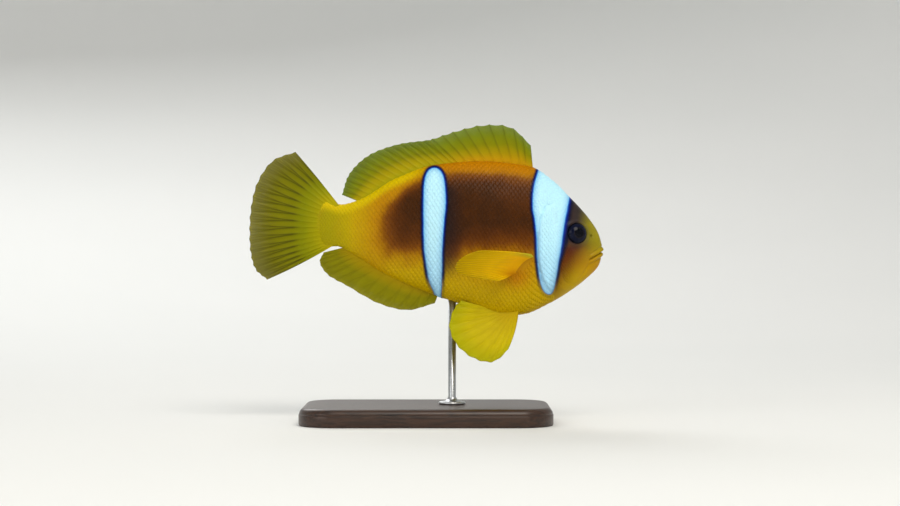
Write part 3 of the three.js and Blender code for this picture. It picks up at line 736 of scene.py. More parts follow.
# Painted shade: low on the bars the tones are drawn darker, as where the belly turns from the light.
SHADED_BAR = [  # in the shade of the belly
    (0.0, "#1A1614"), (0.20, "#20242C"), (0.30, "#2C3E58"), (0.36, "#5E88AE"), (0.43, "#8ABADC"),
    (0.60, "#A2D4F2"), (1.0, "#B0E4FF"),
]
SADDLE_BROWNS = [(0.0, "#B47C00"), (0.3, "#955E02"), (0.52, "#733F05"), (0.78, "#542A04"), (1.0, "#3F2005")]
RIM_FROM, RIM_TO = -1.2, 2.4  # the depths in millimetres that the bars' colours are spread over


def bar_colours(tree, edge_depth, low_bar_shade, rim_share, ragged):
    """The colour of the bars with their rims, painted in shade low down, and how much of it covers the
    ground.
    """
    edge = add(tree, "Math", {"operation": "ADD"}, {0: edge_depth, 1: ragged})
    soft = {"interpolation_type": "SMOOTHSTEP"}
    rim = add(tree, "MapRange", soft, {"Value": edge, "From Min": -1.4, "From Max": -0.5})
    rim = add(tree, "Math", {"operation": "MULTIPLY"}, {0: rim, 1: rim_share})
    inside = add(tree, "MapRange", soft, {"Value": edge, "From Min": -0.35, "From Max": 0.1})
    cover = add(tree, "Math", {"operation": "MAXIMUM"}, {0: rim, 1: inside})
    depth = add(tree, "MapRange", links={"Value": edge, "From Min": RIM_FROM, "From Max": RIM_TO})
    # the bars' lit tones, and a copy in painted shade that takes over towards their foot
    bright = add(tree, "ValToRGB", {"stops": BRIGHT_BAR}, {"Fac": depth})
    shaded_bar = add(tree, "ValToRGB", {"stops": SHADED_BAR}, {"Fac": depth})
    bar_shade = add(tree, "Math", {"operation": "MULTIPLY"}, {0: low_bar_shade, 1: 0.85})
    return add(tree, "MixRGB", links={"Fac": bar_shade, "Color1": bright, "Color2": shaded_bar}), cover


print("a bar has", len(BRIGHT_BAR), "tones from the rim to the middle,", len(SHADED_BAR), "at the belly")


# %% Grain sizes and stored marks
def pattern(size):
    """The scale at which a noise has grains "size" millimetres wide."""
    return 1 / (size * MM)


def read_marks(tree, key):
    """The three numbers of a vector that the mesh keeps at its points."""
    vector = add(tree, "Attribute", {"attribute_name": key}, out="Vector")
    return list(add(tree, "SeparateXYZ", links={0: vector}).node.outputs)


print("clouds", CLOUD_WIDTH, "mm wide need a scale of", round(pattern(CLOUD_WIDTH), 1))


# %% Fish skin material
def fish_skin(name, gloss, spot, slime):
    """gloss is the skin's roughness, spot the pigment spots' width, slime the weight of the wet coat."""
    made, tree = new_material(name)
    where = add(tree, "TexCoord", out="Object")
    edge_depth, low_bar_shade, rim_share = read_marks(tree, "bars")
    saddle, dark, blotch = read_marks(tree, "patches")
    belly, back, snout = read_marks(tree, "tones")
    stem, behind_bar, crest_highlight = read_marks(tree, "ends")

    cloud = add(tree, "TexNoise", links={"Vector": where, "Scale": pattern(CLOUD_WIDTH), "Detail": 3.0})
    ragged = add(tree, "MapRange", links={"Value": cloud, "To Min": -0.16, "To Max": 0.16})
    stem_tone = add(tree, "ValToRGB", {"stops": [(0.6, "#BCA000"), (1.0, "#A09400")]}, {"Fac": stem})
    stem_cover = add(tree, "MapRange", links={"Value": stem, "From Max": 0.7})
    frayed = add(tree, "Math", {"operation": "ADD"}, {0: saddle, 1: ragged})
    brown = add(tree, "ValToRGB", {"stops": SADDLE_BROWNS}, {"Fac": frayed})
    brown_cover = add(tree, "MapRange", links={"Value": frayed, "From Min": 0.02, "From Max": 0.4})
    shade = add(tree, "Math", {"operation": "MULTIPLY"}, {0: behind_bar, 1: 0.7})
    bar, bar_cover = bar_colours(tree, edge_depth, low_bar_shade, rim_share, ragged)

    colour = "#B68000"  # the ochre ground
    layers = [
        # the orange back's share also holds the painted shadow under the breast fin's root
        ("#C19F00", belly), ("#B87600", back), ("#978B14", snout), (stem_tone, stem_cover),
        # the pale yellow along the top of the back is a painted highlight
        ("#D2B600", crest_highlight), ("#5F2C08", blotch), (brown, brown_cover), ("#181419", shade),
        ("#12142C", dark), (bar, bar_cover),
    ]
    for tone, share in layers:
        colour = add(tree, "MixRGB", links={"Fac": share, "Color1": colour, "Color2": tone})

    fine = add(tree, "TexNoise", links={"Vector": where, "Scale": pattern(spot), "Detail": 2.0})
    uneven = add(tree, "MapRange", links={"Value": fine, "To Min": 0.86, "To Max": 1.12})
    rough = add(tree, "MapRange", links={"Value": cloud, "To Min": gloss - 0.06, "To Max": gloss + 0.08})
    skin_parts = {
        "Base Color": add(tree, "HueSaturation", links={"Value": uneven, "Color": colour}),
        "Roughness": rough,
        "IOR": 1.4,
        "Specular IOR Level": 0.09,
        "Coat Weight": slime,
        "Coat Roughness": 0.18,
        "Normal": add(tree, "Bump", links={"Strength": 0.25, "Distance": 0.04 * MM, "Height": fine}),
    }
    shader = add(tree, "BsdfPrincipled", links=skin_parts)
    add(tree, "OutputMaterial", links={"Surface": shader})
    return made


skin_finish = fish_skin("slime_wet_fish_skin", gloss=0.42, spot=0.45, slime=0.08)
scale_finish = fish_skin("clear_fish_scale_over_pigment", gloss=0.38, spot=0.6, slime=0.05)
print("finishes:", skin_finish.name, "and", scale_finish.name)

# %% [markdown]
# The skin.
# One closed surface replaces the head, jaw, gill covers, body and tail stem, so no seam shows between them.
# Joined solids would need their seams smoothed away. Its rings crowd towards the snout, where the detail
# is, and it lies a scale's depth inside the solids, so that the tips of the scales reach the fish's true
# size.

# %% Ends of a skin, and where a piece belongs
def fan(row, pole):
    """The triangles from a pole to a row of point numbers."""
    return np.stack([np.full(len(row) - 1, pole), row[:-1], row[1:]], -1)


def settle(piece, slot, *nodes):
    """The piece rides on the model's one body and stands for solid nodes, which it hides. slot is not used.
    """
    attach(piece, "root")
    if nodes:
        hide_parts(*nodes)


print("a fan over 5 points has", len(fan(np.arange(5), 5)), "triangles")

# %% Build the skin
RINGS = 400
SIDES_ROUND = 240
SKIN_INSET = 0.25  # the skin lies this deep below the tips of the scales


def skin_point(behind, turn, lift, height=None):
    """A point over the skin. height stands for the relief there, where it is given."""
    base = body_at(behind, turn)
    height = relief(base) if height is None else height
    return base + body_normal(behind, turn) * (height - SKIN_INSET + lift)[..., None]


ring_behind = (BODY_LENGTH + TAIL_PLATE) * np.linspace(0, 1, RINGS + 1)[1:] ** 2
ring_turn = np.linspace(0, 2 * np.pi, SIDES_ROUND + 1)[:-1]
behind, turn = np.meshgrid(ring_behind, ring_turn, indexing="ij")
skin_points = skin_point(behind, turn, np.zeros(behind.shape)).reshape(-1, 3)
snout_tip = skin_points[:SIDES_ROUND].mean(0, keepdims=True)
skin_points = np.concatenate([skin_points, snout_tip])
grid = round_grid(RINGS, SIDES_ROUND)
skin = make_piece(
    "fish_skin",
    skin_points,
    [rows_of(grid), fan(grid[0], len(skin_points) - 1), grid[-1, :-1][None, ::-1]],
    skin_finish,
    marks=markings(skin_points),
)
settle(skin, "skin", "head", "lower_jaw", "gill_cover_right", "gill_cover_left", "torso", "tail_stem")

# %% [markdown]
# The eyes.
# A fish's eye has no lids. A black pupil sits in a dark iris with a thin bronze ring, under a clear domed
# cornea that is always wet: IOR 1.376, as smooth as glass, with a sharp small highlight. Pupil and iris
# could lie inside a clear dome, but so dark an eye shows no depth, so one closed ball carries both. It is
# flatter than a sphere and looks out of the round rim of the head. The iris's fibres run outwards. Real
# ones are a few hundredths of a millimetre wide and wouldn't show, so the widest here are 1.08 mm apart at
# the window's edge.

# %% Eye material
IRIS_TONES = [  # by the distance from the middle of the window: pupil, bronze ring, iris
    (0.0, "#02030A"), (0.47, "#03050F"), (0.52, "#1C1616"), (0.58, "#0D1022"), (0.66, "#080C22"),
    (0.85, "#090E26"), (1.0, "#050816"),
]
FIBRE_WIDTH = 1.08
eye_finish, tree = new_material("wet_cornea_over_dark_iris")
spread_out = read_marks(tree, "iris")[0]
around = add(tree, "Attribute", {"attribute_name": "iris"}, out="Vector")
# The stored marks count the window's radius as 1, so the scale is the number of fibres along it.
fibres = add(tree, "TexNoise", links={"Vector": around, "Scale": EYE["disc"] / FIBRE_WIDTH, "Detail": 4.0})
wobble = add(tree, "MapRange", links={"Value": fibres, "To Min": -0.05, "To Max": 0.05})
ring_place = add(tree, "Math", {"operation": "ADD"}, {0: spread_out, 1: wobble})
cornea_parts = {
    "Base Color": add(tree, "ValToRGB", {"stops": IRIS_TONES}, {"Fac": ring_place}),
    "Roughness": 0.15,
    "IOR": 1.376,
    "Specular IOR Level": 0.05,
    "Coat Weight": 0.17,
    "Coat Roughness": 0.03,
}
shader = add(tree, "BsdfPrincipled", links=cornea_parts)
add(tree, "OutputMaterial", links={"Surface": shader})
print("eye finish:", eye_finish.name)

# %% Eyeballs
EYE_ROWS = 40
EYE_TURNS = 72

thick = EYE["radius"] * EYE["flatness"]
set_back = thick * math.sqrt(1 - (EYE["disc"] / EYE["radius"]) ** 2)
polar = np.linspace(0, np.pi, EYE_ROWS + 1)[1:-1]
spin = np.linspace(0, 2 * np.pi, EYE_TURNS + 1)[:-1]
flat, rise = EYE["radius"] * np.sin(polar), thick * np.cos(polar)
window = np.where(rise > 0, flat / EYE["disc"], 1)  # 1 at the window's edge and all over the back
iris_marks = np.stack(
    [
        np.append(np.repeat(window, EYE_TURNS), [0, 1]),
        np.append(np.tile(np.cos(spin), len(polar)), [0, 0]),
        np.append(np.tile(np.sin(spin), len(polar)), [0, 0]),
    ],
    -1,
)
grid = round_grid(len(polar), EYE_TURNS)
front_pole, rear_pole = grid.max() + 1, grid.max() + 2
for side_name, side in (("right", 1), ("left", -1)):  # the spot was worked out on the right side
    ahead = EYE_FACING * [1, side, 1]
    aside = np.cross(ahead, [0, 0, 1])
    aside /= np.linalg.norm(aside)
    upright = np.cross(aside, ahead)
    centre = EYE_SPOT * [1, side, 1] - ahead * set_back
    ring = np.cos(spin)[:, None] * aside + np.sin(spin)[:, None] * upright
    ball = centre + rise[:, None, None] * ahead + flat[:, None, None] * ring[None]
    points = np.concatenate([ball.reshape(-1, 3), [centre + thick * ahead, centre - thick * ahead]])
    faces = [rows_of(grid)[:, ::-1], fan(grid[0], front_pole)[:, ::-1], fan(grid[-1], rear_pole)]
    eye = make_piece(f"eyeball_{side_name}", points, faces, eye_finish, marks={"iris": iris_marks})
    settle(eye, "eye", f"eye_{side_name}")

# %% [markdown]
# The scales.
# Small rounded plates overlap like roof tiles, each hiding the front of the next one behind it. They run in
# staggered rows, shrink towards the head and the tail, and are left off the snout, the lips and the rims.
# They could be a bump in the material, but then no edge would break the outline, so each one is a thin
# solid plate that rises to its rear edge. A table of lengths round the body turns a place in millimetres up
# or down its side into a place on the surface, so that the rows keep their spacing.

# %% Lengths round the body
TABLE_STEP = 0.25
TABLE_TURNS = 160
table_behind = np.arange(2, BODY_LENGTH + 3, TABLE_STEP)
table_turn = np.linspace(-np.pi / 2, np.pi / 2, TABLE_TURNS + 1)
table_points = body_at(*np.meshgrid(table_behind, table_turn, indexing="ij"))
steps = np.linalg.norm(np.diff(table_points, axis=1), axis=-1)
girth = np.concatenate([np.zeros((len(steps), 1)), np.cumsum(steps, 1)], 1)
girth -= girth[:, TABLE_TURNS // 2][:, None]  # measured from the middle of the side


def turn_at(behind, up):
    """The turn from the middle of the side that lies "up" millimetres along the skin."""
    place = np.clip((behind - table_behind[0]) / TABLE_STEP, 0, len(table_behind) - 1.001)
    i = place.astype(int)
    f = (place - i)[:, None]
    line = girth[i] * (1 - f) + girth[i + 1] * f
    j = np.clip((line < up[:, None]).sum(1) - 1, 0, TABLE_TURNS - 1)
    pick = np.arange(len(up))
    low, high = line[pick, j], line[pick, j + 1]
    part = np.clip((up - low) / np.maximum(high - low, 1e-9), 0, 1)
    return table_turn[j] + part * (table_turn[1] - table_turn[0])


print("half way round the belly it is", round(float(np.ptp(girth, 1).max()), 1), "mm at most")

# %% Where the scales sit
SCALE_PITCH = 1.5  # along a row, at the flank
ROW_PITCH = 1.15  # between two staggered rows
FIRST_SCALE = 9.0  # behind the snout
SCALE_SIZE = smooth_table([[8, 0.5], [14, 0.62], [20, 0.85], [26, 1.0], [74, 1.0], [88, 0.8], [96, 0.62]])


def scale_sites():
    """Rows of (behind, up, size): columns along the body, each a half row out of step with the last."""
    sites = []
    at, column = FIRST_SCALE, 0
    while at < BODY_LENGTH + 1.6:
        size = float(SCALE_SIZE(at))
        row_step = 2 * ROW_PITCH * size
        i = int(np.clip((at - table_behind[0]) / TABLE_STEP, 0, len(table_behind) - 1))
        low, high = girth[i, 0] + 0.5, girth[i, -1] - 0.5
        offset = 0.5 * (column % 2)
        for k in range(math.ceil(low / row_step - offset), math.floor(high / row_step - offset) + 1):
            sites.append((at, (k + offset) * row_step, size))
        at += SCALE_PITCH / 2 * size
        column += 1
    return np.array(sites)


sites = scale_sites()
print(len(sites), "places for a scale on each side")

# %% Where the skin stays bare
middles = body_at(sites[:, 0], turn_at(sites[:, 0], sites[:, 1]))
x, z = middles[:, 0], middles[:, 2]
nape = smoothstep(51, 45.5, x)
cheek = smoothstep(51.5, 47.8, x + 0.02 * (z - 56) ** 2) * smoothstep(44.5, 48.5, z)
cover = np.where(x > 43, np.where(z > 69, nape, cheek), 1)  # 0 where the bare face starts
in_gill = ring_depth(x, z, GILL_COVER)
keep = (in_gill > 1.05) | (in_gill < -0.85) | ((x > 43.5) & (z > 44))
fold_along, fold_across = fold_place(x, z)
keep &= ~((np.abs(fold_across) < 1.3) & (np.abs(fold_along) < 4.6))
keep &= (np.hypot(x - EYE["x"], z - EYE["z"]) > 5.5) & (cover > 0.3)
cheek_far, cheek_side, cheek_share = line_distance(x, z, CHEEK_EDGE)
keep &= ~((cheek_far < np.where(cheek_side > 0, 0.95, 0.5)) & (cheek_share > 0) & (cheek_share < 1))
sites = np.concatenate([sites, cover[:, None]], 1)[keep]
print(len(sites), "scales a side,", SCALE_PITCH, "mm apart along the flank")

# %% The shape of one scale
PLATE_GRID = (7, 5)  # points across and along a plate


def edge_of(grid):
    """The point numbers round the edge of a grid, in one turn."""
    return np.concatenate([grid[0, :-1], grid[:-1, -1], grid[-1, :0:-1], grid[:0:-1, 0]])


places = [np.linspace(-1, 1, PLATE_GRID[0]), np.linspace(0, 1, PLATE_GRID[1])]
ACROSS, ALONG = (place.ravel() for place in np.meshgrid(*places, indexing="ij"))
PLATE_POINTS = len(ACROSS)
PLATE_TOP = np.arange(PLATE_POINTS).reshape(PLATE_GRID)
PLATE_EDGE = edge_of(PLATE_TOP)
print("one scale has", PLATE_POINTS, "points on top and", len(PLATE_EDGE), "round its edge")

# %% Where the points of a scale lie
SCALE_RISE = 0.12  # how far a scale's rear edge stands out of the skin
SCALE_SUNK = 0.07  # how deep its front edge lies under it
SCALE_UNDER = 0.16  # how deep its underside lies
SCALE_FLEX = 0.1  # a plate bends no more than this where the skin below it has a step


def plate_faces():
    """The faces of one plate: its top, its rim and its underside."""
    under = PLATE_POINTS + np.arange(len(PLATE_EDGE))
    rim = np.stack([PLATE_EDGE, np.roll(PLATE_EDGE, -1), np.roll(under, -1), under], -1)
    return rows_of(PLATE_TOP), rim, under[None]


def plate_places(chosen, draw):
    """Where the points of each chosen plate lie: behind the snout, up the side, and over the skin."""
    count = len(chosen)
    calm = chosen[:, 3:4]  # the last scales before bare skin are small and flat
    size = chosen[:, 2:3] * draw.uniform(0.96, 1.05, (count, 1)) * (0.7 + 0.3 * calm)
    lean = draw.normal(0, 0.03, (count, 1))
    front = -0.72 * SCALE_PITCH * size
    tip = 0.78 * SCALE_PITCH * size
    rounding = (1 - np.abs(ACROSS) ** 2.3) ** 0.62
    along = front + (tip * rounding - front) * ALONG
    across = 1.22 * ROW_PITCH * size * ACROSS * (0.86 + 0.14 * np.sin(np.pi * (0.15 + 0.7 * ALONG)))
    risen = ((along - front) / (tip - front)) ** 0.85
    lift = -SCALE_SUNK + (SCALE_RISE * calm * size**0.5 + SCALE_SUNK) * risen - 0.03 * ACROSS**2
    return chosen[:, 0:1] + along, chosen[:, 1:2] + across + lean * along, lift


print("its rear edge stands", SCALE_RISE, "mm out of the skin")

# %% Build the scales
# The map OFBake gives each scale a patch of its own, at its place on the flank, to bake its finish into.
PATCH = 0.003  # a patch's size, as a share of the map
UNWRAP_LENGTH, UNWRAP_HEIGHT = BODY_LENGTH + 5, 80  # the millimetres of flank that the map spans


def build_scales(name, chosen, side, seed):
    """One piece of separate closed plates. chosen are rows of (behind, up, size, calm)."""
    behind, up, lift = plate_places(chosen, np.random.default_rng(seed))
    angle = turn_at(behind.ravel(), up.ravel()).reshape(behind.shape)
    turn = angle if side > 0 else np.pi - angle
    height = relief(body_at(behind.ravel(), turn.ravel())).reshape(behind.shape)
    own = height[:, PLATE_POINTS // 2][:, None]
    height = own + np.clip(height - own, -SCALE_FLEX, SCALE_FLEX)
    tops = skin_point(behind, turn, lift, height)
    low = (behind[:, PLATE_EDGE], turn[:, PLATE_EDGE])
    below = skin_point(*low, np.full(low[0].shape, -SCALE_UNDER), height[:, PLATE_EDGE])
    points = np.concatenate([tops, below], 1)

    offset = (np.arange(len(chosen)) * points.shape[1])[:, None, None]
    flip = slice(None, None, -1) if side > 0 else slice(None)
    groups = [(group[None] + offset).reshape(-1, group.shape[1])[:, flip] for group in plate_faces()]
    points = points.reshape(-1, 3)
    made = make_piece(name, points, groups, scale_finish, flat_from=len(groups[0]), marks=markings(points))
    home = np.stack([chosen[:, 0] / UNWRAP_LENGTH, 0.5 + chosen[:, 1] / UNWRAP_HEIGHT], -1)
    local = np.stack([ALONG, ACROSS / 2], -1)
    local = np.concatenate([local, local[PLATE_EDGE]])
    uv = (home[:, None, :] + PATCH * local[None]).reshape(-1, 2)
    corner_points = np.empty(len(made.data.loops), np.int32)
    made.data.loops.foreach_get("vertex_index", corner_points)
    layer = made.data.uv_layers.new(name="OFBake")
    layer.data.foreach_set("uv", uv[corner_points].astype(np.float32).ravel())
    return made


# %% Dress both flanks
FRONT_SCALES_END = SNOUT_X - 12
seed = 11
for side_name, side in (("right", -1), ("left", 1)):
    for part_name, chosen in (
        ("front", sites[sites[:, 0] < FRONT_SCALES_END]),
        ("rear", sites[sites[:, 0] >= FRONT_SCALES_END]),
    ):
        scales = build_scales(f"scales_{part_name}_{side_name}", chosen, side, seed)
        settle(scales, "skin")
        seed += 1

# %% [markdown]
# The fins.
# A fin is a web of thin skin held open by rays. The front of the back fin has ten stiff spines; all the
# others are soft rays that split in two and in two again towards the edge. A flat sheet with a drawn
# pattern would look like paper, so each fin is one closed sheet: a fan of smooth lines from root to tip,
# with the rays raised out of both faces, the edge scalloped between them, and a slow wave through it all.

# %% The web between the rays
def spread(guides, count):
    """Spreads count rays evenly over a few guide rays: arrays of roots, tips and bows."""
    share = np.linspace(0, 1, count)
    return [catmull([guide[k] for guide in guides], share) for k in range(3)]


def through(rows, at):
    """A smooth line through rows of points, at row numbers that need not be whole."""
    padded = np.concatenate([[2 * rows[0] - rows[1]], rows, [2 * rows[-1] - rows[-2]]])
    i = np.clip(at.astype(int), 0, len(rows) - 2)
    t = (at - i)[..., None]
    p0, p1, p2, p3 = (padded[i + k] for k in range(4))
    m1, m2 = (p2 - p0) / 2, (p3 - p1) / 2
    return p1 + m1 * t + (3 * (p2 - p1) - 2 * m1 - m2) * t**2 + (2 * (p1 - p2) + m1 + m2) * t**3


def sheet_at(rays, at, share):
    """A point on the line from a ray's root to its tip, which bows out half way."""
    base, tip, bow = (through(rows, at) for rows in rays)
    share = share[..., None]
    return base + (tip - base) * share + bow * 4 * share * (1 - share)


print("half way between 0, 1 and 4:", through(np.array([[0.0], [1.0], [4.0]]), np.array([0.5])).tolist())

# %% How thick a fin is
SPINE_DIP = 0.026  # how far the web between two spines stops short of their tips, as a share of their length
JOINT_LENGTH = 0.9  # soft rays are jointed like bamboo
FORKS = (0.25, 0.125)  # how far the branches of a soft ray part, in spaces between rays


def ray_share(at, share, is_spine, width):
    """1 on the crest of a ray, 0 on the web."""
    off = at - np.round(at)
    first = FORKS[0] * smoothstep(0.32, 1.0, share)
    second = FORKS[1] * smoothstep(0.6, 1.0, share)
    branches = [np.abs(off - a * first - b * second) for a in (-1, 1) for b in (-1, 1)]
    nearest = np.where(is_spine, np.abs(off), np.min(branches, 0)) * width
    thick = np.where(is_spine, 0.30 - 0.14 * share, 0.24 - 0.06 * share)
    return hump(nearest, 0, thick)


def half_thickness(ray, share, is_spine, length, form):
    tall = np.where(is_spine, 1.75 * form["ridge"] * (1 - 0.6 * share), form["ridge"] * (1 - 0.55 * share))
    tall = tall * smoothstep(0.02, 0.25, share)  # the rays fade into the fleshy root
    joint = (np.cos(2 * np.pi * length * share / JOINT_LENGTH) > 0.75) * (share > 0.3)
    fleshy = form["foot"] * np.maximum(0, 1 - share / 0.35) ** 2
    return form["web"] / 2 * (1 - 0.6 * share) + fleshy + tall * ray * np.where(is_spine, 1, 1 - 0.22 * joint)


print("a soft ray forks", len(FORKS), "times and has a joint every", JOINT_LENGTH, "mm")

# %% The middle of the web
def waved_sheet(rays, at, share, fold):
    """The web's middle with its waves, the direction out of it, how far apart rays are and how long."""
    step = 0.03
    after = np.minimum(at + step, len(rays[0]) - 1)
    before = np.maximum(at - step, 0)
    aside = sheet_at(rays, after, share) - sheet_at(rays, before, share)
    width = np.linalg.norm(aside, axis=-1) / (after - before)
    outward = sheet_at(rays, at, share + step) - sheet_at(rays, at, share - step)
    length = np.linalg.norm(outward, axis=-1) / (2 * step)
    normal = np.cross(outward, aside)
    normal /= np.maximum(np.linalg.norm(normal, axis=-1, keepdims=True), 1e-9)
    wave = fold * share**1.5 * np.sin(at * 0.75 + 0.8) + 0.12 * share * np.cos(2 * np.pi * at)
    return sheet_at(rays, at, share) + normal * wave[..., None], normal, width, length


MEDIAN_FORM = {  # how a fin on the middle line is made, in millimetres
    "per_gap": 14,  # columns between two rays
    "rows": 56,  # from root to edge
    "web": 0.32,  # the web's thickness
    "ridge": 0.17,  # how far a ray stands out of each face
    "foot": 0.5,  # how thick the fleshy root is on each side
    "notch": 0.014,  # how deep the edge is scalloped, as a share of the ray
    "fold": 0.25,  # how deep the fin waves
}
print("a fin's form:", MEDIAN_FORM)


# %% Build a fin
def build_fin(name, rays, material, spines=0, **changes):
    """A closed sheet over the rays, with changes to the form of a fin on the middle line."""
    form = MEDIAN_FORM | changes
    last = len(rays[0]) - 1
    columns = np.linspace(0, last, last * form["per_gap"] + 1)
    at, share = np.meshgrid(columns, np.linspace(0, 1, form["rows"] + 1) ** 1.15, indexing="ij")
    gap = np.abs(at - np.round(at)) * 2
    is_spine = at < spines - 0.5
    scallop = np.sin(np.pi / 2 * gap) ** np.where(is_spine, 0.8, 1.4)
    dip = np.where(is_spine, SPINE_DIP, form["notch"]) * scallop
    share = share * (1 - dip)
    points, normal, width, length = waved_sheet(rays, at, share, form["fold"])
    ray = ray_share(at, share, is_spine, width)
    half = half_thickness(ray, share, is_spine, length, form)
    half = half * np.where(share > 0.97 * (1 - dip), 0.55, 1)  # the edge is pinched thin
    faces = []
    for face in (1, -1):
        moved = points + normal * (face * half)[..., None]
        moved[..., 1] += sway(moved[..., 0])
        faces.append(moved.reshape(-1, 3))
    grid = np.arange(at.size).reshape(at.shape)
    ring = edge_of(grid)
    rim = np.stack([ring, ring + at.size, np.roll(ring, -1) + at.size, np.roll(ring, -1)], -1)
    marks = {
        "ray": np.stack([gap / 2, share, ray], -1).reshape(-1, 3),
        "web": np.stack([at, length * share, is_spine * 1.0], -1).reshape(-1, 3),
    }
    return make_piece(
        name,
        np.concatenate(faces),
        [rows_of(grid)[:, ::-1], rows_of(grid + at.size), rim],
        material,
        marks={key: np.tile(values, (2, 1)) for key, values in marks.items()},
    )

# %% [markdown]
# The finish of the fins.
# A fin's web is clear skin with yellow pigment, so light comes through it: thin, slightly see-through at
# the edge, with a soft wet shine. Light that enters it comes out again beside, more red and yellow than
# blue, which keeps the fins glowing on their shaded side. The rays are bone, a little darker. The pigment
# lies in clouds 3.8 mm wide, and a bump 0.45 mm wide stands for the fine wrinkles, which on the real fin
# are half that and would not show.

# %% Fin material
FIN_CLOUD = 3.8
FIN_WRINKLE = 0.45
GLOW_REACH = 1.5 * MM  # how far light creeps under the skin


def fin_web(name, tones, ray_tone, stripe, clear_edge, veil=0.18, heels=()):
    """tones are (share from the root, colour). stripe is how dark the rays are drawn, clear_edge the
    edge's alpha and veil the weight of the glow. heels are tints at the root, some of them painted shade:
    (colour, the ray where it starts, the ray where it is full)."""
    made, tree = new_material(name)
    where = add(tree, "TexCoord", out="Object")
    share, ray = read_marks(tree, "ray")[1:]
    number = read_marks(tree, "web")[0]
    cloud = add(tree, "TexNoise", links={"Vector": where, "Scale": pattern(FIN_CLOUD), "Detail": 4.0})
    drift = add(tree, "MapRange", links={"Value": cloud, "To Min": -0.07, "To Max": 0.07})
    place = add(tree, "Math", {"operation": "ADD"}, {0: share, 1: drift})
    colour = add(tree, "ValToRGB", {"stops": tones}, {"Fac": place})
    shown = add(tree, "ValToRGB", {"stops": stripe}, {"Fac": share})
    dark = add(tree, "Math", {"operation": "MULTIPLY"}, {0: ray, 1: shown})
    colour = add(tree, "MixRGB", links={"Fac": dark, "Color1": colour, "Color2": ray_tone})

    soft = {"interpolation_type": "SMOOTHSTEP"}
    near_root = add(tree, "MapRange", soft, {"Value": share, "From Min": 0.6, "From Max": 0.12})
    for heel_tone, start, full in heels:
        heel = add(tree, "MapRange", links={"Value": number, "From Min": start, "From Max": full})
        heel = add(tree, "Math", {"operation": "MULTIPLY"}, {0: heel, 1: near_root})
        colour = add(tree, "MixRGB", links={"Fac": heel, "Color1": colour, "Color2": heel_tone})
    uneven = add(tree, "MapRange", links={"Value": cloud, "To Min": 0.88, "To Max": 1.12})
    fine = add(tree, "TexNoise", links={"Vector": where, "Scale": pattern(FIN_WRINKLE), "Detail": 2.0})
    thinning = {"Value": share, "From Min": 0.6, "From Max": 1.0, "To Min": 1.0, "To Max": clear_edge}
    thin = add(tree, "MapRange", soft, thinning)
    bone = add(tree, "Math", {"operation": "MULTIPLY", "use_clamp": True}, {0: ray, 1: 0.1})
    web_parts = {
        "Base Color": add(tree, "HueSaturation", links={"Value": uneven, "Color": colour}),
        "Roughness": 0.45,
        "IOR": 1.4,
        "Specular IOR Level": 0.1,
        "Alpha": add(tree, "Math", {"operation": "ADD", "use_clamp": True}, {0: thin, 1: bone}),
        "Subsurface Weight": veil,
        "Subsurface Radius": (1.0, 0.85, 0.25),  # red and yellow light creeps further than blue
        "Subsurface Scale": GLOW_REACH,
        "Normal": add(tree, "Bump", links={"Strength": 0.2, "Distance": 0.03 * MM, "Height": fine}),
    }
    shader = add(tree, "BsdfPrincipled", links=web_parts)
    add(tree, "OutputMaterial", links={"Surface": shader})
    return made


print("light creeps", GLOW_REACH / MM, "mm under a fin's skin")

# %% [markdown]
# The back fin and the vent fin.
# Both stand on the middle line: the back fin with ten spines that grow into a rounded lobe of soft rays,
# the vent fin below it, each folded a little to the left as the tail swings. A guide ray is where it is
# rooted behind the snout and where its tip stands, and the rays between follow, so a fin's outline takes
# five to seven guides.

# %% Guide rays on the middle line
ROOT_SUNK = 2  # a ray is rooted this deep in the flesh


def vec(*values):
    return np.array(values, float)


def middle_ray(root_z, behind, tip_x, tip_z, lean):
    return vec(SNOUT_X - behind, 0, root_z), vec(tip_x, lean, tip_z), vec(0, 0, 0)


def back_ray(behind, tip_x, tip_z, lean=0):
    return middle_ray(BACK(behind) - ROOT_SUNK, behind, tip_x, tip_z, lean)


def belly_ray(behind, tip_x, tip_z, lean=0):
    return middle_ray(BELLY(behind) + ROOT_SUNK, behind, tip_x, tip_z, lean)


print("the back fin's first ray is rooted at", back_ray(23.4, 35, 93)[0].round(1).tolist())

# %% Back fin
BACK_SPINES = 10
back_spines = spread(
    [
        back_ray(23.4, 35, 93),
        back_ray(28, 28.4, 99.1),
        back_ray(34, 18.9, 99.9),
        back_ray(40.6, 9.7, 97.8),
        back_ray(46.9, 1.9, 95.2),
    ],
    BACK_SPINES,
)
soft_back_rays = spread(
    [
        back_ray(48.6, -0.2, 94.7, 0.2),
        back_ray(57, -10.2, 93.3, 0.9),
        back_ray(65.5, -19.9, 89.5, 1.5),
        back_ray(73.6, -26.3, 83.2, 1.7),
        back_ray(80.6, -28.5, 76.4, 1.2),
    ],
    16,
)
back_web = fin_web(
    "olive_back_fin_web",
    [
        (0.0, "#B57A00"), (0.2, "#B58C00"), (0.38, "#958400"), (0.55, "#787800"), (0.8, "#68770A"),
        (1.0, "#60781A"),
    ],
    "#4E4C0C",
    [(0.2, 0.0), (0.45, 0.35), (0.9, 0.45)],
    0.78,
    heels=[("#9A9200", 8, 12)],
)
back_rays = [np.concatenate(parts) for parts in zip(back_spines, soft_back_rays)]
settle(build_fin("back_fin", back_rays, back_web, spines=BACK_SPINES), "fin", "dorsal_fin")

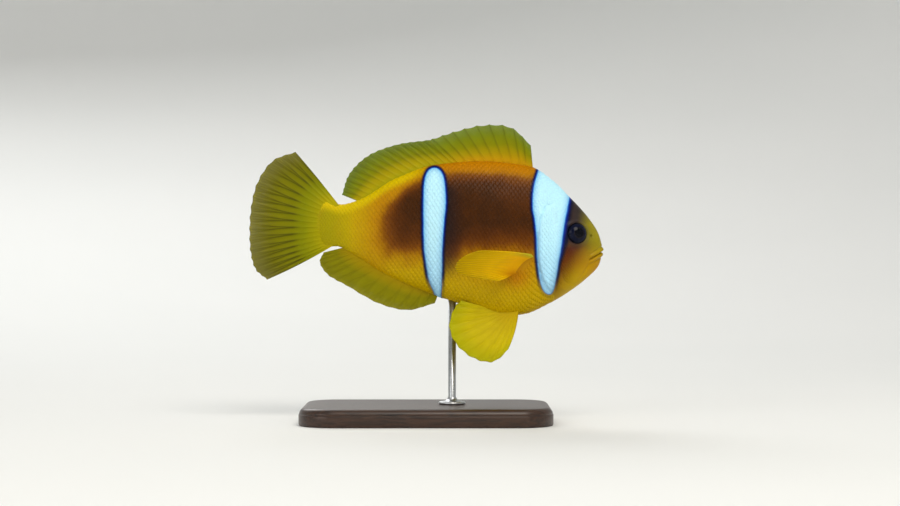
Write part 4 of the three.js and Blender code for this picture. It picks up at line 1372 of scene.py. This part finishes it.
# %% Vent fin
vent_rays = spread(
    [
        belly_ray(55, 2.8, 39.9, -0.2),
        belly_ray(60.6, -6.2, 37.6, -0.9),
        belly_ray(68, -16, 39.8, -1.3),
        belly_ray(75, -27, 45.9, -1.1),
        belly_ray(80.5, -33.4, 49.6, -0.8),
        belly_ray(83.5, -36, 53.8, -0.5),
        belly_ray(85.5, -34.6, 57, -0.3),
    ],
    15,
)
vent_web = fin_web(
    "yellow_vent_fin_web",
    [(0.0, "#A98600"), (0.25, "#8F7C00"), (0.5, "#757000"), (0.85, "#747200"), (1.0, "#7C7804")],
    "#5F5A08",
    [(0.2, 0.0), (0.5, 0.22), (0.9, 0.3)],
    0.85,
)
settle(build_fin("vent_fin", vent_rays, vent_web, spines=2, rows=50), "fin", "anal_fin")

# %% [markdown]
# The tail fin.
# It is the fish's propeller: seventeen rays fan out from the fleshy end of the stem. The outermost ones are
# rooted further forward, so that the stem runs into the fin's edges without a step. Its edge is straight to
# a little round, and its rays are dark in their outer half.

# %% Tail fin
def tail_ray(root_x, root_z, tip_x, tip_z, bow_x, bow_z):
    return vec(root_x, 0, root_z), vec(tip_x, 0, tip_z), vec(bow_x, 0, bow_z)


tail_rays = spread(
    [
        tail_ray(-29.4, 72.8, -44.2, 90.9, 0.1, 0.2),
        tail_ray(-31.2, 72, -51.9, 88.1, 0.2, 0.5),
        tail_ray(-31.6, 70.2, -57.2, 81, 0, 0.2),
        tail_ray(-31.6, 67.9, -59.4, 73, 0, 0),
        tail_ray(-31.6, 65.6, -60, 64.6, 0, 0),
        tail_ray(-31.6, 63.2, -59.6, 56.6, 0, 0),
        tail_ray(-31.2, 61, -57.9, 51.1, 0, -0.3),
        tail_ray(-29.6, 60.4, -53.9, 47.8, 0, -0.6),
    ],
    17,
)
tail_web = fin_web(
    "olive_tail_fin_web",
    [
        (0.1, "#A89A00"), (0.24, "#8E8B00"), (0.36, "#787B00"), (0.48, "#6E6F00"), (0.75, "#686604"),
        (1.0, "#676218"),
    ],
    "#3A3806",
    [(0.38, 0.0), (0.48, 0.85), (0.74, 0.6), (1.0, 0.15)],
    0.78,
)
tail_form = {"per_gap": 16, "rows": 80, "foot": 0.9, "notch": 0.01, "fold": 0.3}
settle(build_fin("tail_fin", tail_rays, tail_web, **tail_form), "fin", "caudal_fin")

# %% [markdown]
# The paired fins.
# The breast fins scull: each blade is turned flat, with its upper edge thrown outwards. The belly fins hang
# open like fans and steady the fish. A left fin is its twin's mirror image. The breast fins are the most
# golden, and where the light falls through the belly fins they turn lemon.

# %% Finishes of the paired fins
breast_web = fin_web(
    "golden_breast_fin_web",
    [(0.0, "#F0AE00"), (0.2, "#F4B600"), (0.45, "#EEBC00"), (0.8, "#DDB200"), (1.0, "#CBA600")],
    "#8C6A05",
    [(0.2, 0.1), (0.6, 0.2), (1.0, 0.25)],
    0.82,
    # the first heel is painted shade on the lowest rays near the root, which turn from the light; the second
    # is a greener tint at the top rays' root
    heels=[("#BE7600", 11, 18), ("#B9AE22", 3, 0)],
)
belly_web = fin_web(
    "lemon_belly_fin_web",
    [(0.0, "#B49400"), (0.3, "#BAA200"), (0.7, "#BEAA00"), (1.0, "#AAA600")],
    "#8F8404",
    [(0.1, 0.1), (0.6, 0.2), (1.0, 0.25)],
    0.9,
)
print("paired fins:", breast_web.name, "and", belly_web.name)

# %% Breast and belly fins
BREAST_SUNK = 1.2


def paired(side, base, tip, bow):
    """A guide ray whose y is measured outwards from the middle plane."""
    return tuple(vec(x, side * y, z) for x, y, z in (base, tip, bow))


def breast_root(x, z):
    return x, float(side_at(SNOUT_X - x, z)) - BREAST_SUNK, z


def belly_root(x, y):
    return x, y, float(BELLY(SNOUT_X - x)) + ROOT_SUNK


BREAST_GUIDES = [
    (breast_root(36, 55.8), (17.4, 21.5, 57.7), (1.5, 2.2, 0.4)),
    (breast_root(34.3, 54.9), (12.9, 21.5, 56), (1, 2, 0.3)),
    (breast_root(33.1, 53.9), (9.9, 20, 53.4), (0.5, 1.7, 0)),
    (breast_root(32, 52.6), (9.9, 18, 50.7), (0.3, 1.4, 0)),
    (breast_root(30.9, 51.4), (15.3, 15.4, 48.7), (0, 1, -0.2)),
    (breast_root(29.8, 50.4), (23.6, 12.6, 47.4), (0, 0.6, -0.3)),
]
BELLY_GUIDES = [
    (belly_root(30.8, 3), (27.2, 9.4, 24.8), (0.6, 0.7, 0)),
    (belly_root(30.1, 2.9), (22.6, 10.4, 20.8), (0.5, 0.8, 0)),
    (belly_root(29.4, 2.8), (16.6, 9.8, 21.4), (0.3, 0.8, -0.2)),
    (belly_root(28.7, 2.7), (10.8, 8.4, 25.4), (0.2, 0.7, -0.3)),
    (belly_root(28, 2.6), (7.6, 6.8, 31.4), (0, 0.5, -0.3)),
    (belly_root(27.3, 2.5), (8.9, 5.6, 37.8), (0, 0.3, -0.3)),
    (belly_root(26.5, 2.4), (11.6, 4.6, 41), (0, 0.2, -0.2)),
]
BREAST_FORM = {"per_gap": 10, "rows": 50, "web": 0.28, "ridge": 0.13, "foot": 0.6, "fold": 0}
BELLY_FORM = {"per_gap": 14, "rows": 50, "web": 0.3, "ridge": 0.15, "foot": 0.6, "fold": 0}
for side_name, side in (("right", -1), ("left", 1)):
    rays = spread([paired(side, *guide) for guide in BREAST_GUIDES], 19)
    fin = build_fin(f"breast_fin_{side_name}", rays, breast_web, **BREAST_FORM)
    settle(fin, "fin", f"pectoral_fin_{side_name}")
    rays = spread([paired(side, *guide) for guide in BELLY_GUIDES], 11)
    fin = build_fin(f"belly_fin_{side_name}", rays, belly_web, spines=1, **BELLY_FORM)
    settle(fin, "fin", f"pelvic_fin_{side_name}")

# %% [markdown]
# The stand's finishes.
# The block is walnut, planed, stained dark and brushed with a satin varnish: long brown streaks 1.6 mm
# wide, pores 0.3 mm wide, and a soft clear shine with an IOR of 1.5. The pores are real size, the streaks a
# little wide, so that they show. The rod is stainless steel, brushed round and round on a lathe: a metal,
# whose fine rings 0.11 mm apart smear a highlight along it. Real rings are finer still and would not show.

# %% Dark wood
STREAK = (13.89, 1.5625, 1.5625)  # how long and wide the grain's streaks are
PORE = (2.525, 0.2841, 0.2841)
WOOD_TONES = [(0.3, "#1A0F08"), (0.5, "#3D2618"), (0.62, "#26160D"), (0.8, "#523721")]

dark_wood, tree = new_material("stained_walnut_satin_varnish")
where = add(tree, "TexCoord", out="Object")
# Stretched coordinates give a noise of scale 1 grains that are longer than wide.
along_grain = add(tree, "Mapping", links={"Vector": where, "Scale": [pattern(size) for size in STREAK]})
along_pores = add(tree, "Mapping", links={"Vector": where, "Scale": [pattern(size) for size in PORE]})
streaks = {"Vector": along_grain, "Scale": 1.0, "Detail": 8.0, "Distortion": 0.6}
grain = add(tree, "TexNoise", links=streaks)
pores = add(tree, "TexNoise", links={"Vector": along_pores, "Scale": 1.0, "Detail": 3.0})
wood_parts = {
    "Base Color": add(tree, "ValToRGB", {"stops": WOOD_TONES}, {"Fac": grain}),
    "Roughness": 0.42,
    "IOR": 1.5,
    "Specular IOR Level": 0.35,
    "Coat Weight": 0.22,
    "Coat Roughness": 0.18,
    "Normal": add(tree, "Bump", links={"Strength": 0.25, "Distance": 0.08 * MM, "Height": pores}),
}
shader = add(tree, "BsdfPrincipled", links=wood_parts)
add(tree, "OutputMaterial", links={"Surface": shader})
print("base finish:", dark_wood.name)

# %% Brushed steel
BRUSH_RING = (2.5, 2.5, 0.1111)  # how long the rings' scratches are, and how far apart

steel, tree = new_material("brushed_stainless_steel")
where = add(tree, "TexCoord", out="Object")
round_rod = add(tree, "Mapping", links={"Vector": where, "Scale": [pattern(size) for size in BRUSH_RING]})
brush = add(tree, "TexNoise", links={"Vector": round_rod, "Scale": 1.0, "Detail": 3.0})
steel_parts = {
    "Base Color": add(tree, "ValToRGB", {"stops": [(0.3, "#A9ABAD"), (0.7, "#C4C6C8")]}, {"Fac": brush}),
    "Metallic": 1.0,
    "Roughness": add(tree, "MapRange", links={"Value": brush, "To Min": 0.2, "To Max": 0.42}),
    "Normal": add(tree, "Bump", links={"Strength": 0.1, "Distance": 0.01 * MM, "Height": brush}),
}
shader = add(tree, "BsdfPrincipled", links=steel_parts)
add(tree, "OutputMaterial", links={"Surface": shader})
print("rod finish:", steel.name)

# %% [markdown]
# The stand's shapes.
# A flat block with rounded corners and a moulded upper edge carries a turned rod on a low foot, as in a
# museum case. A bevelled box would do for the block, but a moulding has an outline of its own, so both
# pieces are made from an outline in section: the block's is led round a rounded rectangle, the rod's is
# turned round an axis.

# %% Base
BASE = {"length": 84, "width": 52, "height": 6, "corner": 12}
CORNER_STEPS = 16


def rounded_outline(half_x, half_y, corner):
    """Points round a rectangle with round corners."""
    line = []
    for quarter in range(4):
        angles = np.linspace(quarter, quarter + 1, CORNER_STEPS + 1) * np.pi / 2
        cx = (half_x - corner) * (1 if quarter in (0, 3) else -1)
        cy = (half_y - corner) * (1 if quarter in (0, 1) else -1)
        line.append(np.stack([cx + corner * np.cos(angles), cy + corner * np.sin(angles)], -1))
    return np.concatenate(line)


def stacked(name, rings, material):
    """A closed piece from rings of points, one above the other, with a flat end below and above."""
    grid = round_grid(len(rings), len(rings[0]))
    faces = [rows_of(grid)[:, ::-1], grid[-1, :-1][None], grid[0, :-1][None, ::-1]]
    return make_piece(name, np.concatenate(rings), faces, material)


moulding = [(-3.0, 0.0), (-0.6, 0.0), (-0.18, 0.18), (0.0, 0.6), (0.0, 3.6)]  # (proud of the side, level)
moulding += [(-0.1 - 1.6 * math.sin(a), 3.8 + 2.2 * (1 - math.cos(a))) for a in (0, 0.2)]  # a small step
moulding += [(-2.4 + 2.2 * math.cos(a), 3.8 + 2.2 * math.sin(a)) for a in np.linspace(0.1, math.pi / 2, 12)]
moulding += [(-6.0, BASE["height"])]
base_rings = []
for proud, level in moulding:
    line = rounded_outline(BASE["length"] / 2 + proud, BASE["width"] / 2 + proud, BASE["corner"] + proud)
    base_rings.append(np.column_stack([line, np.full(len(line), level)]))
settle(stacked("display_base", base_rings, dark_wood), "base_wood", "stand_base")

# %% Rod
ROD = {"x": 8.6, "radius": 1.3, "foot_radius": 4.5, "turns": 48}

rod_top = float(BELLY(SNOUT_X - ROD["x"])) + 0.5
foot = BASE["height"] + 0.02  # a hair above the wood
wide = ROD["foot_radius"]
turning = [(0.01, foot), (wide - 0.25, foot), (wide, foot + 0.25)]  # (radius, level)
turning += [(wide, foot + 0.7), (wide - 0.3, foot + 0.95)]
for a in np.linspace(0, math.pi / 2, 9):  # a hollow curve up to the rod
    turning.append((4.0 - 2.55 * math.sin(a), foot + 1.0 + 1.35 * (1 - math.cos(a))))
turning += [(ROD["radius"], foot + 2.6), (ROD["radius"], rod_top), (0.01, rod_top)]
spin = np.linspace(0, 2 * np.pi, ROD["turns"] + 1)[:-1]
rod_rings = [np.array([[ROD["x"] + r * math.cos(a), r * math.sin(a), z] for a in spin]) for r, z in turning]
settle(stacked("display_rod", rod_rings, steel), "rod_steel", "stand_rod")
